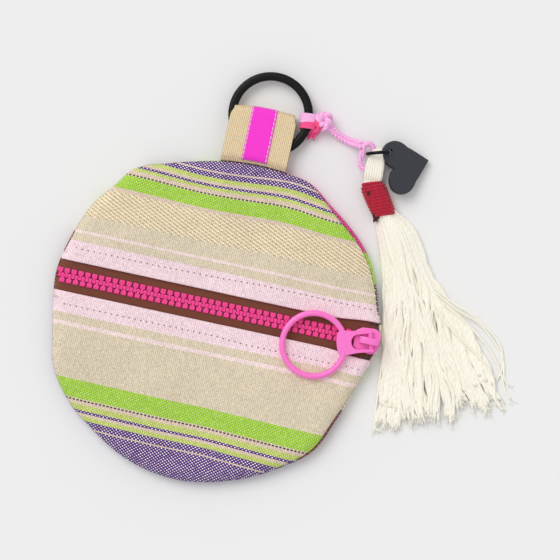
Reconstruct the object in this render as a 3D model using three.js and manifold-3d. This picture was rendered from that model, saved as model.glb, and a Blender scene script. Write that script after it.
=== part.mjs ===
// Round canvas pouch with a zip across its front, a webbing tab with a key ring, a heart tag and a tassel.
// Millimetres. The pouch lies on its back on z = 0, with +X along the zip towards the slider,
// +Y towards the webbing tab and the origin under the pouch's middle.

import * as THREE from 'three';
import { mergeVertices } from 'three/addons/utils/BufferGeometryUtils.js';
import Module from 'manifold-3d';

const wasm = await Module();
wasm.setup();

// Pouch
const pouchRadius = 66; // mean radius of the flat pouch
const rimHeight = 3.6; // height of the rim's widest line
const zipLevel = 8.6; // height of the front cloth at the zip
const crown = 0.9; // how much higher each front panel stands between zip and rim
const clothWall = 1.2; // canvas with its turned allowance
const rimRoll = 6; // how far in from the edge the rim stays round
const gap = 0.3; // clearance between neighbouring pieces

// Zip
const zipY = 5.2; // centre line of the teeth
const tapeShow = 6.2; // bare half width of the tapes between the two folded edges
const tapeHidden = 3; // width of tape under each folded edge
const tapeThick = 0.8;
const toothPitch = 2.8;
const toothReach = 2.7; // half width over both rows of teeth
const toothThick = 2.4;
const toothCount = 44;
const zipFlare = 1.5; // how far each folded edge spreads beside the slider

// Slider
const sliderLength = 10.4;
const sliderWidth = 10.3;
const sliderPlate = 1.2;
const sliderInset = 0; // slider's nose from the pouch's edge
const bridgeWidth = 2.6;
const bridgeThick = 1.4;
const bridgeLength = 8;
const bridgeShift = 0.6; // its middle from the slider's middle, towards the nose

// Ring pull
const pullRing = 27.5; // outside diameter
const pullWire = 2.4;
const pullThick = 2.2;
const pullReach = 22.8; // pivot to ring centre
const pullTurn = 15.5; // degrees off the zip
const pullTab = 9.8; // widest width of the tab
const pullLap = 2.2; // how far the tab reaches into the ring at its middle
const slotLength = 7;
const slotWidth = 6.2;
const pullBar = 1.8;

// Webbing tab and its ribbon
const tabWidth = 25.6;
const tabX = 1.75; // tab centre
const tabReach = 22.9; // from the pouch's edge to the fold
const webbing = 1.4;
const foldPinch = { left: 2.6, right: 1.2 }; // how much the fold's corners draw in
const ribbonWidth = 10.5;
const ribbonThick = 0.5;

// Key ring
const keyRing = 34; // outside diameter
const keyBand = 3.5; // width of the band
const keyThick = 3;
const keyLift = 2.5; // underside above the surface
const keyOut = { x: 2.15, y: 21.182 }; // its middle from the tab's, and beyond the pouch's edge there

// Cord
const cordThick = 2.4;
const cordLoop = { z: 5.1, long: 11, wide: 5.9, thick: 1.6, tilt: 14 }; // end loop, over all
const loopOut = { x: -3.8, y: -2.1 }; // its middle from the jump ring's

// Jump ring
const jumpRing = 10; // outside diameter
const jumpWire = 1.4;
const jumpTurn = 17; // degrees, its plane stands upright
const jumpOut = { x: -16.9, y: -6.1 }; // its middle from the pouch's side edge and the key ring's middle

// Heart tag
const heartLong = 18.2;
const heartWide = 21.8;
const heartThick = 3;
const heartTurn = 26; // degrees, direction of its point
const heartTilt = 16; // degrees, its point lies lowest
const heartHole = { x: -0.3, y: 6.9, wide: 3.8 }; // from the notch

// Tassel
const wrapLength = 13.7;
const wrapWide = 8.8;
const wrapThick = 1;
const wrapHigh = 7.4;
const tasselTurn = -55.5; // degrees, direction of the skirt
const tasselOut = { x: 0.3, y: -12.3 }; // middle of the binding's upper end from the jump ring's middle
const skirtLength = 86; // from the binding to the longest tip
const skirtWide = 55; // over the tips
const skirtHigh = 6.4; // just below the binding
const lockCount = 11;
const headWide = 5.2; // head loop
const headThick = 1.2;

const degrees = THREE.MathUtils.degToRad;
const { smoothstep, lerp } = THREE.MathUtils;

// The rim, going round from the slider's end of the zip. reach is the radius and peek the width of back
// cloth that shows, as shares of pouchRadius and of the roll; roll is a share of rimRoll.
const rim = [
  { angle: -3, reach: 0.97, peek: 0.05, roll: 0.5 },
  { angle: 4, reach: 1.0, peek: 0.08, roll: 0.5 },
  { angle: 9.5, reach: 1.004, peek: 0.1, roll: 0.5 },
  { angle: 16, reach: 0.988, peek: 0.12, roll: 0.8 },
  { angle: 25, reach: 0.996, peek: 0.14, roll: 1 },
  { angle: 37, reach: 1.003, peek: 0.2, roll: 1 },
  { angle: 49, reach: 0.99, peek: 0.24, roll: 1 },
  { angle: 58, reach: 0.988, peek: 0.12, roll: 1 },
  { angle: 68, reach: 1.012, peek: 0.02, roll: 1 },
  { angle: 77, reach: 0.99, peek: 0.01, roll: 0.9 },
  { angle: 90, reach: 0.973, peek: 0.01, roll: 0.9 },
  { angle: 102, reach: 0.972, peek: 0.01, roll: 0.9 },
  { angle: 110, reach: 0.978, peek: 0.01, roll: 1 },
  { angle: 119, reach: 1.0, peek: 0.01, roll: 1 },
  { angle: 130, reach: 1.048, peek: 0.01, roll: 1.1 },
  { angle: 140, reach: 1.027, peek: 0.02, roll: 1 },
  { angle: 148, reach: 1.032, peek: 0.02, roll: 1 },
  { angle: 162, reach: 1.019, peek: 0.08, roll: 1 },
  { angle: 175, reach: 1.016, peek: 0.04, roll: 1 },
  { angle: 185, reach: 0.997, peek: 0.01, roll: 1 },
  { angle: 197, reach: 0.996, peek: 0.01, roll: 1 },
  { angle: 207, reach: 1.024, peek: 0.01, roll: 1 },
  { angle: 221, reach: 1.018, peek: 0.01, roll: 1 },
  { angle: 233, reach: 0.998, peek: 0.01, roll: 1 },
  { angle: 252, reach: 0.998, peek: 0.01, roll: 1 },
  { angle: 270, reach: 0.99, peek: 0.01, roll: 1 },
  { angle: 285, reach: 0.974, peek: 0.02, roll: 1 },
  { angle: 305, reach: 0.971, peek: 0.06, roll: 1 },
  { angle: 319, reach: 0.985, peek: 0.14, roll: 1 },
  { angle: 332, reach: 0.947, peek: 0.16, roll: 1 },
  { angle: 346, reach: 0.94, peek: 0.08, roll: 0.9 },
];

// Soft folds and dents of the front. x, y, long and wide are shares of pouchRadius, rise is a share of crown.
const folds = [
  { x: 0.5, y: 0.7, long: 0.34, wide: 0.07, turn: -48, rise: -0.9 },
  { x: 0.3, y: 0.72, long: 0.3, wide: 0.08, turn: 12, rise: 0.6 },
  { x: -0.35, y: 0.62, long: 0.4, wide: 0.1, turn: 20, rise: 0.5 },
  { x: -0.62, y: 0.5, long: 0.25, wide: 0.08, turn: 40, rise: -0.7 },
  { x: 0.1, y: -0.55, long: 0.5, wide: 0.12, turn: -6, rise: 0.5 },
  { x: 0.45, y: -0.45, long: 0.3, wide: 0.08, turn: -30, rise: -0.6 },
  { x: -0.5, y: -0.5, long: 0.3, wide: 0.09, turn: 32, rise: -0.5 },
];

// Sections of the skirt from the binding to the tips, as shares of skirtLength, skirtWide and skirtHigh.
const skirt = [
  { along: -0.02, left: -0.034, right: 0.034, high: 0.4 },
  { along: 0.004, left: -0.036, right: 0.036, high: 0.42 },
  { along: 0.025, left: -0.08, right: 0.085, high: 0.95 },
  { along: 0.1, left: -0.13, right: 0.16, high: 1 },
  { along: 0.2, left: -0.145, right: 0.14, high: 0.96 },
  { along: 0.31, left: -0.155, right: 0.13, high: 0.9 },
  { along: 0.42, left: -0.225, right: 0.165, high: 0.84 },
  { along: 0.55, left: -0.33, right: 0.19, high: 0.76 },
  { along: 0.7, left: -0.46, right: 0.22, high: 0.68 },
  { along: 0.86, left: -0.58, right: 0.26, high: 0.58 },
  { along: 1, left: -0.67, right: 0.285, high: 0.46 },
];

// How far each lock of the skirt reaches, as a share of skirtLength.
const lockReach = [0.93, 0.92, 0.91, 0.93, 0.92, 0.94, 0.97, 0.94, 0.97, 1, 0.98];

// The free stretch of cord from the knot to its end loop, in order, from its first point in the plane.
const cordRoute = [
  { x: 0, y: 0, z: 3.4 },
  { x: 2.4, y: -1.5, z: 2.8 },
  { x: 4.4, y: -2.4, z: 2.1 },
  { x: 6.8, y: -3.1, z: 1.7 },
  { x: 8.8, y: -3.5, z: 2.4 },
  { x: 10.4, y: -3.7, z: 4.0 },
  { x: 12.7, y: -3.9, z: 5.9 },
];
const cordStart = { x: 24.7, y: -0.3 }; // its first point from the key ring's middle
const cordEnd = { x: -4, y: 4 }; // its last point from the end loop's middle

// Value of a column of a closed table at an angle in degrees, a smooth curve through its rows.
function around(table, column, angle) {
  const n = table.length;
  const first = table[0].angle;
  const a = first + THREE.MathUtils.euclideanModulo(angle - first, 360);
  let k = n - 1;
  while (table[k].angle > a) k -= 1;
  const row = (i) => {
    const turn = Math.floor(i / n);
    const r = table[THREE.MathUtils.euclideanModulo(i, n)];
    return { at: r.angle + 360 * turn, value: r[column] };
  };
  const [p, q, r, s] = [row(k - 1), row(k), row(k + 1), row(k + 2)];
  return hermite(p, q, r, s, a);
}

// Cubic between q and r whose slopes come from their neighbours.
function hermite(p, q, r, s, a) {
  const span = r.at - q.at;
  const t = (a - q.at) / span;
  const slopeQ = ((r.value - p.value) / (r.at - p.at)) * span;
  const slopeR = ((s.value - q.value) / (s.at - q.at)) * span;
  const t2 = t * t;
  const t3 = t2 * t;
  return (2 * t3 - 3 * t2 + 1) * q.value + (t3 - 2 * t2 + t) * slopeQ
    + (3 * t2 - 2 * t3) * r.value + (t3 - t2) * slopeR;
}

const reachAt = (angle) => pouchRadius * around(rim, 'reach', angle);
const rollAt = (angle) => rimRoll * around(rim, 'roll', angle);
// Angle of the seam up the rolled rim, from the inset at which the back cloth stops showing.
const seamAt = (angle) => Math.acos(1 - Math.max(0, around(rim, 'peek', angle)));
// Half the gap in the seam, as an angle on the rolled rim.
const seamSlack = gap / (zipLevel - rimHeight);

function rimPoint(angle) {
  const reach = reachAt(angle);
  return new THREE.Vector2(reach * Math.cos(degrees(angle)), reach * Math.sin(degrees(angle)));
}

// Middles of the pieces beyond the pouch. They follow its edge, and those on the link follow the key ring.
const keyAt = { x: tabX + keyOut.x, y: rimPoint(90).y + keyOut.y };
const jumpAt = { x: pouchRadius + jumpOut.x, y: keyAt.y + jumpOut.y };
const loopAt = { x: jumpAt.x + loopOut.x, y: jumpAt.y + loopOut.y };
const tasselAt = { x: jumpAt.x + tasselOut.x, y: jumpAt.y + tasselOut.y };

// Angle at which the outline crosses the height y, on the slider's side or the other.
function rimAngle(y, sliderSide) {
  let angle = sliderSide ? 0 : 180;
  for (let i = 0; i < 12; i += 1) {
    const lean = THREE.MathUtils.radToDeg(Math.asin(y / reachAt(angle)));
    angle = sliderSide ? lean : 180 - lean;
  }
  return angle;
}

// Closed body from any geometry: shared points merged, slivers dropped, faces turned outwards.
function closed(geometry) {
  const bare = new THREE.BufferGeometry();
  bare.setAttribute('position', geometry.getAttribute('position').clone());
  if (geometry.index) bare.setIndex(geometry.index.clone());
  const merged = mergeVertices(bare, 1e-4);
  const points = merged.getAttribute('position');
  const index = Array.from(merged.index.array);
  const faces = [];
  let volume = 0;
  const [a, b, c] = [new THREE.Vector3(), new THREE.Vector3(), new THREE.Vector3()];
  for (let i = 0; i < index.length; i += 3) {
    const [p, q, r] = index.slice(i, i + 3);
    if (p === q || q === r || r === p) continue;
    faces.push([p, q, r]);
    a.fromBufferAttribute(points, p);
    b.fromBufferAttribute(points, q);
    c.fromBufferAttribute(points, r);
    volume += a.dot(b.cross(c));
  }
  const outward = volume > 0 ? faces : faces.map(([p, q, r]) => [p, r, q]);
  merged.setIndex(outward.flat());
  return merged;
}

function solid(geometry) {
  const body = closed(geometry);
  return new wasm.Manifold(new wasm.Mesh({
    numProp: 3,
    vertProperties: new Float32Array(body.getAttribute('position').array),
    triVerts: new Uint32Array(body.index.array),
  }));
}

function geometryOf(manifold) {
  const mesh = manifold.getMesh();
  const geometry = new THREE.BufferGeometry();
  geometry.setAttribute('position', new THREE.BufferAttribute(new Float32Array(mesh.vertProperties), 3));
  geometry.setIndex(Array.from(mesh.triVerts));
  return closed(geometry);
}

const join = (geometries) => geometryOf(geometries.map(solid).reduce((a, b) => a.add(b)));

function cut(geometry, tools) {
  return geometryOf(tools.map(solid).reduce((a, b) => a.subtract(b), solid(geometry)));
}

function fromPoints(points, faces) {
  const geometry = new THREE.BufferGeometry();
  geometry.setAttribute('position', new THREE.Float32BufferAttribute(points.flatMap((p) => [p.x, p.y, p.z]), 3));
  geometry.setIndex(faces.flat());
  return closed(geometry);
}

// Wall between an outer and an inner sheet. Each sheet is a list of rays from a pole to the rim.
function wall(outer, inner, goesRound) {
  const rays = outer.length;
  const rings = outer[0].length;
  const points = [...outer.flat(), ...inner.flat()];
  const out = (i, j) => (i % rays) * rings + j;
  const into = (i, j) => rays * rings + out(i, j);
  const faces = [];
  const quad = (a, b, c, d) => faces.push([a, b, c], [a, c, d]);
  const spans = goesRound ? rays : rays - 1;
  for (let i = 0; i < spans; i += 1) {
    for (let j = 0; j < rings - 1; j += 1) {
      quad(out(i, j), out(i, j + 1), out(i + 1, j + 1), out(i + 1, j));
      quad(into(i, j), into(i + 1, j), into(i + 1, j + 1), into(i, j + 1));
    }
    const j = rings - 1;
    quad(out(i, j), into(i, j), into(i + 1, j), out(i + 1, j));
  }
  if (!goesRound) {
    for (let j = 0; j < rings - 1; j += 1) {
      quad(out(0, j), into(0, j), into(0, j + 1), out(0, j + 1));
      quad(out(rays - 1, j), out(rays - 1, j + 1), into(rays - 1, j + 1), into(rays - 1, j));
    }
  }
  return fromPoints(points, faces);
}

// Tube through sections, each a list of points in the same order, with flat ends.
function loft(sections) {
  const sides = sections[0].length;
  const points = sections.flat();
  const faces = [];
  for (let i = 0; i < sections.length - 1; i += 1) {
    for (let k = 0; k < sides; k += 1) {
      const [a, b] = [i * sides + k, i * sides + ((k + 1) % sides)];
      faces.push([a, b, b + sides], [a, b + sides, a + sides]);
    }
  }
  const last = (sections.length - 1) * sides;
  for (let k = 1; k < sides - 1; k += 1) {
    faces.push([0, k + 1, k], [last, last + k, last + k + 1]);
  }
  return fromPoints(points, faces);
}

// Oval section: centre, sideways direction and half width, upward direction and half height.
function oval(centre, side, wide, up, high, sides = 8) {
  return Array.from({ length: sides }, (_, k) => {
    const a = (2 * Math.PI * (k + 0.5)) / sides;
    return centre.clone().addScaledVector(side, wide * Math.cos(a)).addScaledVector(up, high * Math.sin(a));
  });
}

const extrude = (shape, depth, options = {}) => new THREE.ExtrudeGeometry(
  shape,
  { depth, bevelEnabled: false, curveSegments: 6, ...options },
);

// Flat outline as a plate between two heights.
const plate = (shape, low, high, options) => extrude(shape, high - low, options).translate(0, 0, low);

const polygon = (pairs) => new THREE.Shape(pairs.map(([x, y]) => new THREE.Vector2(x, y)));

function roundedBox(width, height, radius) {
  const [w, h] = [width / 2, height / 2];
  const shape = new THREE.Shape();
  shape.moveTo(-w + radius, -h);
  shape.lineTo(w - radius, -h);
  shape.absarc(w - radius, -h + radius, radius, -Math.PI / 2, 0);
  shape.lineTo(w, h - radius);
  shape.absarc(w - radius, h - radius, radius, 0, Math.PI / 2);
  shape.lineTo(-w + radius, h);
  shape.absarc(-w + radius, h - radius, radius, Math.PI / 2, Math.PI);
  shape.lineTo(-w, -h + radius);
  shape.absarc(-w + radius, -h + radius, radius, Math.PI, 1.5 * Math.PI);
  return shape;
}

function foldAt(x, y) {
  return folds.reduce((sum, f) => {
    const [dx, dy] = [x - f.x * pouchRadius, y - f.y * pouchRadius];
    const [c, s] = [Math.cos(degrees(f.turn)), Math.sin(degrees(f.turn))];
    const along = (dx * c + dy * s) / (f.long * pouchRadius);
    const across = (dy * c - dx * s) / (f.wide * pouchRadius);
    return sum + f.rise * crown * Math.exp(-along * along - across * across);
  }, 0);
}

// Back panel, flat in the middle and rolled up to the seam.
function backPanel() {
  const rays = 54;
  const rolled = 4;
  const outer = [];
  const inner = [];
  for (let i = 0; i < rays; i += 1) {
    const angle = (360 * i) / rays;
    const edge = rimPoint(angle);
    const reach = edge.length();
    const roll = rollAt(angle);
    const top = seamAt(angle) - seamSlack;
    const at = (radius, z) => new THREE.Vector3((edge.x * radius) / reach, (edge.y * radius) / reach, z);
    const flat = reach - roll;
    const rayOut = [at(0, 0), at(flat * 0.55, 0)];
    const rayIn = [at(0, clothWall), at(flat * 0.55, clothWall)];
    for (let k = 0; k <= rolled; k += 1) {
      const a = lerp(-Math.PI / 2, top, k / rolled);
      const rise = a < 0 ? rimHeight : zipLevel - rimHeight;
      rayOut.push(at(flat + roll * Math.cos(a), rimHeight + rise * Math.sin(a)));
      rayIn.push(at(flat + (roll - clothWall) * Math.cos(a), rimHeight + (rise - clothWall) * Math.sin(a)));
    }
    outer.push(rayOut);
    inner.push(rayIn);
  }
  return wall(outer, inner, true);
}

// Front panel on one side of the zip: side is 1 above it and -1 below it.
function frontPanel(side) {
  const rays = 28;
  const rolled = 3;
  const flatShares = [0, 0.25, 0.5, 0.75];
  const edgeY = zipY + side * tapeShow;
  const near = rimAngle(edgeY + side * zipFlare, true);
  const far = rimAngle(edgeY, false);
  const [start, end] = side > 0 ? [near, far] : [far, 360 + near];
  const pole = new THREE.Vector2(0, edgeY);
  const outer = [];
  const inner = [];
  for (let i = 0; i <= rays; i += 1) {
    const angle = lerp(start, end, i / rays);
    const edge = rimPoint(angle);
    const toPole = pole.clone().sub(edge).normalize();
    const roll = rollAt(angle);
    const bottom = seamAt(angle) + seamSlack;
    const at = (inset, z) => flared(edge.x + toPole.x * inset, edge.y + toPole.y * inset, z, side);
    const flatEdge = edge.clone().addScaledVector(toPole, roll);
    const rayOut = [];
    const rayIn = [];
    for (const share of flatShares) {
      const p = pole.clone().lerp(flatEdge, share);
      const away = Math.abs(p.y - edgeY) / (0.2 * pouchRadius);
      const puff = 1 - Math.exp(-away * away);
      const z = zipLevel + puff * (crown * (1 - share ** 4) + foldAt(p.x, p.y));
      rayOut.push(flared(p.x, p.y, z, side));
      rayIn.push(flared(p.x, p.y, z - clothWall, side));
    }
    for (let k = rolled; k >= 0; k -= 1) {
      const a = lerp(bottom, Math.PI / 2, k / rolled);
      const rise = zipLevel - rimHeight;
      rayOut.push(at(roll * (1 - Math.cos(a)), rimHeight + rise * Math.sin(a)));
      rayIn.push(at(roll - (roll - clothWall) * Math.cos(a), rimHeight + (rise - clothWall) * Math.sin(a)));
    }
    outer.push(rayOut);
    inner.push(rayIn);
  }
  return wall(outer, inner, false);
}

// The folded edges stay straight along the zip and spread only beside the slider.
function flared(x, y, z, side) {
  const away = Math.abs(y - zipY - side * tapeShow) / (0.15 * pouchRadius);
  const lean = THREE.MathUtils.clamp(x / sliderAt.x, 0, 1);
  const spread = smoothstep(x, sliderAt.x - 1.6 * sliderLength, sliderAt.x);
  return new THREE.Vector3(x, y + side * zipFlare * (spread - lean) * Math.exp(-away * away), z);
}

const tapeTop = zipLevel - clothWall - gap;
const tapeMid = tapeTop - tapeThick / 2;
const noseX = rimPoint(rimAngle(zipY, true)).x - sliderInset;
const sliderAt = new THREE.Vector3(noseX - sliderLength / 2, zipY, tapeMid);

// Height of the tape's top near its far end, where it rolls down with the rim.
function tapeRoll(share) {
  const a = lerp(0.25, Math.PI / 2, share);
  return {
    inset: rimRoll - (rimRoll - clothWall - 2 * gap) * Math.cos(a),
    z: rimHeight + (tapeTop - rimHeight) * Math.sin(a),
  };
}

// Zip tape on one side of the teeth, rolled down at its far end and level up to the slider's end.
function zipTape(side) {
  const innerY = side * (toothReach + gap);
  const hiddenY = side * (tapeShow + tapeHidden);
  const bareY = side * (tapeShow - gap);
  const far = (y) => rimPoint(rimAngle(zipY + y, false)).x;
  const near = (y) => rimPoint(rimAngle(zipY + y, true)).x;
  const rolls = [0, 0.33, 0.66, 1].map(tapeRoll);
  const levelEnd = near(hiddenY) - rimRoll * 0.75;
  const stations = [
    ...rolls.map(({ inset, z }) => ({ x: (y) => far(y) + inset, outer: hiddenY, z })),
    { x: () => levelEnd, outer: hiddenY, z: tapeTop },
    { x: () => levelEnd + gap, outer: bareY, z: tapeTop },
    { x: () => near(innerY) - clothWall - 2 * gap, outer: bareY, z: tapeTop },
  ];
  const sections = stations.map(({ x, outer, z }) => {
    const under = z - tapeThick;
    return [
      [innerY, z], [outer, z], [outer, under], [innerY, under],
    ].map(([y, height]) => new THREE.Vector3(x(y), zipY + y, height));
  });
  return loft(sections);
}

// One row of moulded teeth on its bead. Each tooth is a block with a dovetail that reaches past the centre line.
function zipTeeth(side) {
  const bead = 0.7;
  const block = 0.95; // half width of the block
  const blockEnd = 1.05; // inner face of the block from the centre line
  const neck = 0.33;
  const tip = 0.72;
  const start = sliderAt.x - toothPitch * (toothCount - 0.25 + (side < 0 ? 0.5 : 0));
  const baseline = toothReach - bead;
  const pairs = [];
  for (let k = 0; k < toothCount; k += 1) {
    const x = start + toothPitch * (k + 0.5);
    pairs.push(
      [x - block, baseline], [x - block, blockEnd], [x - neck, blockEnd], [x - tip, -blockEnd + gap],
      [x + tip, -blockEnd + gap], [x + neck, blockEnd], [x + block, blockEnd], [x + block, baseline],
    );
  }
  const end = start + toothPitch * toothCount;
  pairs.push([end, baseline], [end, toothReach], [start, toothReach], [start, baseline]);
  const row = plate(polygon(pairs.map(([x, y]) => [x, side * y])), -toothThick / 2, toothThick / 2);
  const bent = closed(row);
  const points = bent.getAttribute('position');
  const farEdge = rimPoint(rimAngle(zipY, false)).x;
  for (let i = 0; i < points.count; i += 1) {
    const inset = Math.min(rimRoll, points.getX(i) - farEdge);
    const s = (rimRoll - inset) / (rimRoll - clothWall / 2);
    const drop = (tapeMid - rimHeight) * (1 - Math.sqrt(Math.max(0, 1 - s * s)));
    points.setZ(i, points.getZ(i) - drop);
  }
  return bent;
}

// Moulded slider: shield-shaped plates above and below the tape, a wedge between them at the nose,
// flanges that come down beside the teeth, and a bridge on top. Its own origin is its middle.
function slider() {
  const halfGap = toothThick / 2 + gap;
  const half = sliderWidth / 2;
  const nose = sliderLength / 2;
  const outline = (front) => {
    const shape = new THREE.Shape();
    shape.moveTo(-nose, -half * 0.62);
    shape.lineTo(-nose * 0.55, -half * 0.92);
    shape.lineTo(front * 0.3, -half);
    shape.quadraticCurveTo(front, -half, front, 0);
    shape.quadraticCurveTo(front, half, front * 0.3, half);
    shape.lineTo(-nose * 0.55, half * 0.92);
    shape.lineTo(-nose, half * 0.62);
    return shape;
  };
  const lowerNose = nose - clothWall - 4 * gap;
  const upper = plate(outline(nose), halfGap, halfGap + sliderPlate);
  const lower = plate(outline(lowerNose), -halfGap - sliderPlate, -halfGap);
  const wedge = plate(polygon([[nose * 0.08, 0], [nose * 0.4, -1.7], [nose * 0.55, -1.7],
    [nose * 0.55, 1.7], [nose * 0.4, 1.7]]), -halfGap - 0.1, halfGap + 0.1);
  const flangeY = toothReach + gap;
  const flangeEnd = half * 0.92;
  const flange = (side, low, high) => plate(polygon([
    [-nose * 0.5, side * flangeY], [nose * 0.35, side * flangeY],
    [nose * 0.35, side * flangeEnd], [-nose * 0.5, side * flangeEnd],
  ]), low, high);
  const slit = tapeThick / 2 + gap;
  const flanges = [1, -1].flatMap((side) => [
    flange(side, slit, halfGap + 0.1),
    flange(side, -halfGap - 0.1, -slit),
  ]);
  return join([upper, lower, wedge, ...flanges, bridge(halfGap + sliderPlate)]);
}

// Height of the pull's bar over the slider's top plate, and of the bridge's soffit.
const barLift = gap + pullThick / 2 + 0.1;
const soffit = barLift + pullBar / 2 + gap;
// The bar's place, clear of the bridge's leg over the bridge's whole width.
const barAt = bridgeShift + bridgeLength / 2 - bridgeThick - 2 * gap
  - pullBar / 2 - (bridgeWidth / 2) * Math.tan(degrees(pullTurn));

function bridge(base) {
  const half = bridgeLength / 2;
  const shape = new THREE.Shape();
  shape.moveTo(-half, base - 0.1);
  shape.lineTo(-half, base + soffit * 0.6);
  shape.quadraticCurveTo(-half, base + soffit + bridgeThick, -half * 0.3, base + soffit + bridgeThick);
  shape.lineTo(half * 0.4, base + soffit + bridgeThick);
  shape.quadraticCurveTo(half, base + soffit + bridgeThick, half, base + soffit * 0.6);
  shape.lineTo(half, base - 0.1);
  shape.lineTo(half - bridgeThick, base - 0.1);
  shape.lineTo(half - bridgeThick, base + soffit * 0.7);
  shape.lineTo(half - bridgeThick - 0.6, base + soffit);
  shape.lineTo(-half + bridgeThick + 0.6, base + soffit);
  shape.lineTo(-half + bridgeThick, base + soffit * 0.7);
  shape.lineTo(-half + bridgeThick, base - 0.1);
  const arch = extrude(shape, bridgeWidth, { curveSegments: 4 });
  return arch.translate(bridgeShift, 0, -bridgeWidth / 2).rotateX(Math.PI / 2);
}

// Ring pull about its own pivot: the bar lies on the local Y axis and the ring is towards +X.
function ringPull() {
  const centre = pullReach;
  const wire = Array.from({ length: 9 }, (_, k) => {
    const a = (2 * Math.PI * k) / 8;
    return new THREE.Vector2(pullRing / 2 - pullWire / 2 + (pullWire / 2) * Math.cos(a), (pullWire / 2) * Math.sin(a));
  });
  const ring = new THREE.LatheGeometry(wire, 32).rotateX(Math.PI / 2).translate(centre, 0, 0);
  const cheek = (pullTab - slotWidth) / 2;
  const slotEnd = pullBar / 2 + slotLength;
  const ringEdge = centre - pullRing / 2;
  const tab = new THREE.Shape();
  tab.moveTo(0, -slotWidth / 2 - cheek * 0.65);
  tab.lineTo(slotEnd * 0.6, -slotWidth / 2 - cheek * 0.7);
  tab.lineTo(ringEdge + pullWire, -pullTab / 2);
  tab.quadraticCurveTo(ringEdge + pullWire + 2 * pullLap, 0, ringEdge + pullWire, pullTab / 2);
  tab.lineTo(slotEnd * 0.6, slotWidth / 2 + cheek * 0.7);
  tab.lineTo(0, slotWidth / 2 + cheek * 0.65);
  const open = slotEnd + pullThick;
  const slot = plate(roundedBox(open, slotWidth, 1), -pullThick, pullThick).translate(slotEnd - open / 2, 0, 0);
  const flat = cut(plate(tab, -pullThick / 2, pullThick / 2), [slot]);
  const barLength = slotWidth + 1.3 * cheek;
  const bar = new THREE.CylinderGeometry(pullThick / 2, pullThick / 2, barLength, 10);
  const narrow = new THREE.CylinderGeometry(pullThick / 2 + 1, pullThick / 2 + 1, slotWidth - 0.2, 10);
  const core = new THREE.CylinderGeometry(pullBar / 2, pullBar / 2, slotWidth + 0.4, 10);
  const ends = cut(bar, [narrow]);
  return join([ring, flat, ends, core]);
}

// Webbing folded round the ring's band: a loop of two layers that meet in the pouch's edge seam.
function strapTab() {
  const foldY = tabReach;
  const ringLow = keyLift - gap;
  const ringHigh = keyLift + keyThick + gap;
  const outer = [
    [0, rimHeight - webbing], [1.6, 0.9], [3.4, ringLow - webbing], [7, 0.5], [12, 0.2], [foldY - 3.4, 0],
    [foldY - 1.2, 0.8], [foldY - 0.2, 2.4], [foldY, 3.7], [foldY - 0.2, 5], [foldY - 1.2, 6.4],
    [foldY - 3.4, ringHigh + webbing], [12, ringHigh + webbing + 0.1], [3.2, ringHigh + webbing],
    [1.3, rimHeight + webbing + 1.4], [0, rimHeight + webbing],
  ];
  const inner = [
    [1.2, rimHeight], [2.9, ringLow], [7, ringLow], [12, 1.7], [foldY - 3.4, 1.5], [foldY - 2, 2.2],
    [foldY - 1.5, 3.7], [foldY - 2, 5.1], [foldY - 3.4, ringHigh], [12, ringHigh + 0.1], [3, ringHigh],
  ];
  const shape = polygon(outer);
  shape.holes.push(new THREE.Path(inner.map(([y, z]) => new THREE.Vector2(y, z))));
  return onTheTab(extrude(shape, tabWidth, { steps: 6 }), tabWidth);
}

// Ribbon over the webbing's face and round its fold.
function tabRibbon() {
  const foldY = tabReach;
  const ringHigh = keyLift + keyThick + gap;
  const face = [
    [1.3, rimHeight + webbing + 1.4], [3.2, ringHigh + webbing], [12, ringHigh + webbing + 0.1],
    [foldY - 3.4, ringHigh + webbing], [foldY - 1.2, 6.4], [foldY - 0.2, 5], [foldY, 3.7],
    [foldY - 0.2, 2.4], [foldY - 0.7, 1.6],
  ];
  const push = (distance) => face.map(([y, z], k) => {
    const [a, b] = [face[Math.max(0, k - 1)], face[Math.min(face.length - 1, k + 1)]];
    const along = new THREE.Vector2(b[0] - a[0], b[1] - a[1]).normalize();
    return [y - along.y * distance, z + along.x * distance];
  });
  const low = push(gap);
  const high = push(gap + ribbonThick);
  return onTheTab(extrude(polygon([...low, ...high.reverse()]), ribbonWidth, { steps: 4 }), ribbonWidth);
}

// Stands an extruded side view on the tab's place: its root follows the pouch's edge.
function onTheTab(geometry, width) {
  const body = closed(geometry);
  const points = body.getAttribute('position');
  for (let i = 0; i < points.count; i += 1) {
    const [y, z, across] = [points.getX(i), points.getY(i), points.getZ(i) - width / 2];
    const pinch = smoothstep(y, tabReach - 5.2, tabReach - 2.4);
    const corner = (2 * across) / tabWidth;
    const x = tabX + across - corner * pinch * (across < 0 ? foldPinch.left : foldPinch.right);
    const angle = THREE.MathUtils.radToDeg(Math.atan2(pouchRadius, x));
    const root = rimPoint(angle).y + gap;
    points.setXYZ(i, x, root + y, z);
  }
  return closed(body);
}

// Flat ring with its edges broken, from a closed profile turned about its axis.
function keyRingBody() {
  const [r, b, t, c] = [keyRing / 2, keyBand, keyThick, 0.6];
  const profile = [
    [r - b + c, 0], [r - c, 0], [r, c], [r, t - c], [r - c, t], [r - b + c, t], [r - b, t - c], [r - b, c],
    [r - b + c, 0],
  ].map(([x, y]) => new THREE.Vector2(x, y));
  return new THREE.LatheGeometry(profile, 36).rotateX(Math.PI / 2);
}

// Direction from the ring's middle to the cord's knot, in degrees.
const knotAngle = 4.7;

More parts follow.
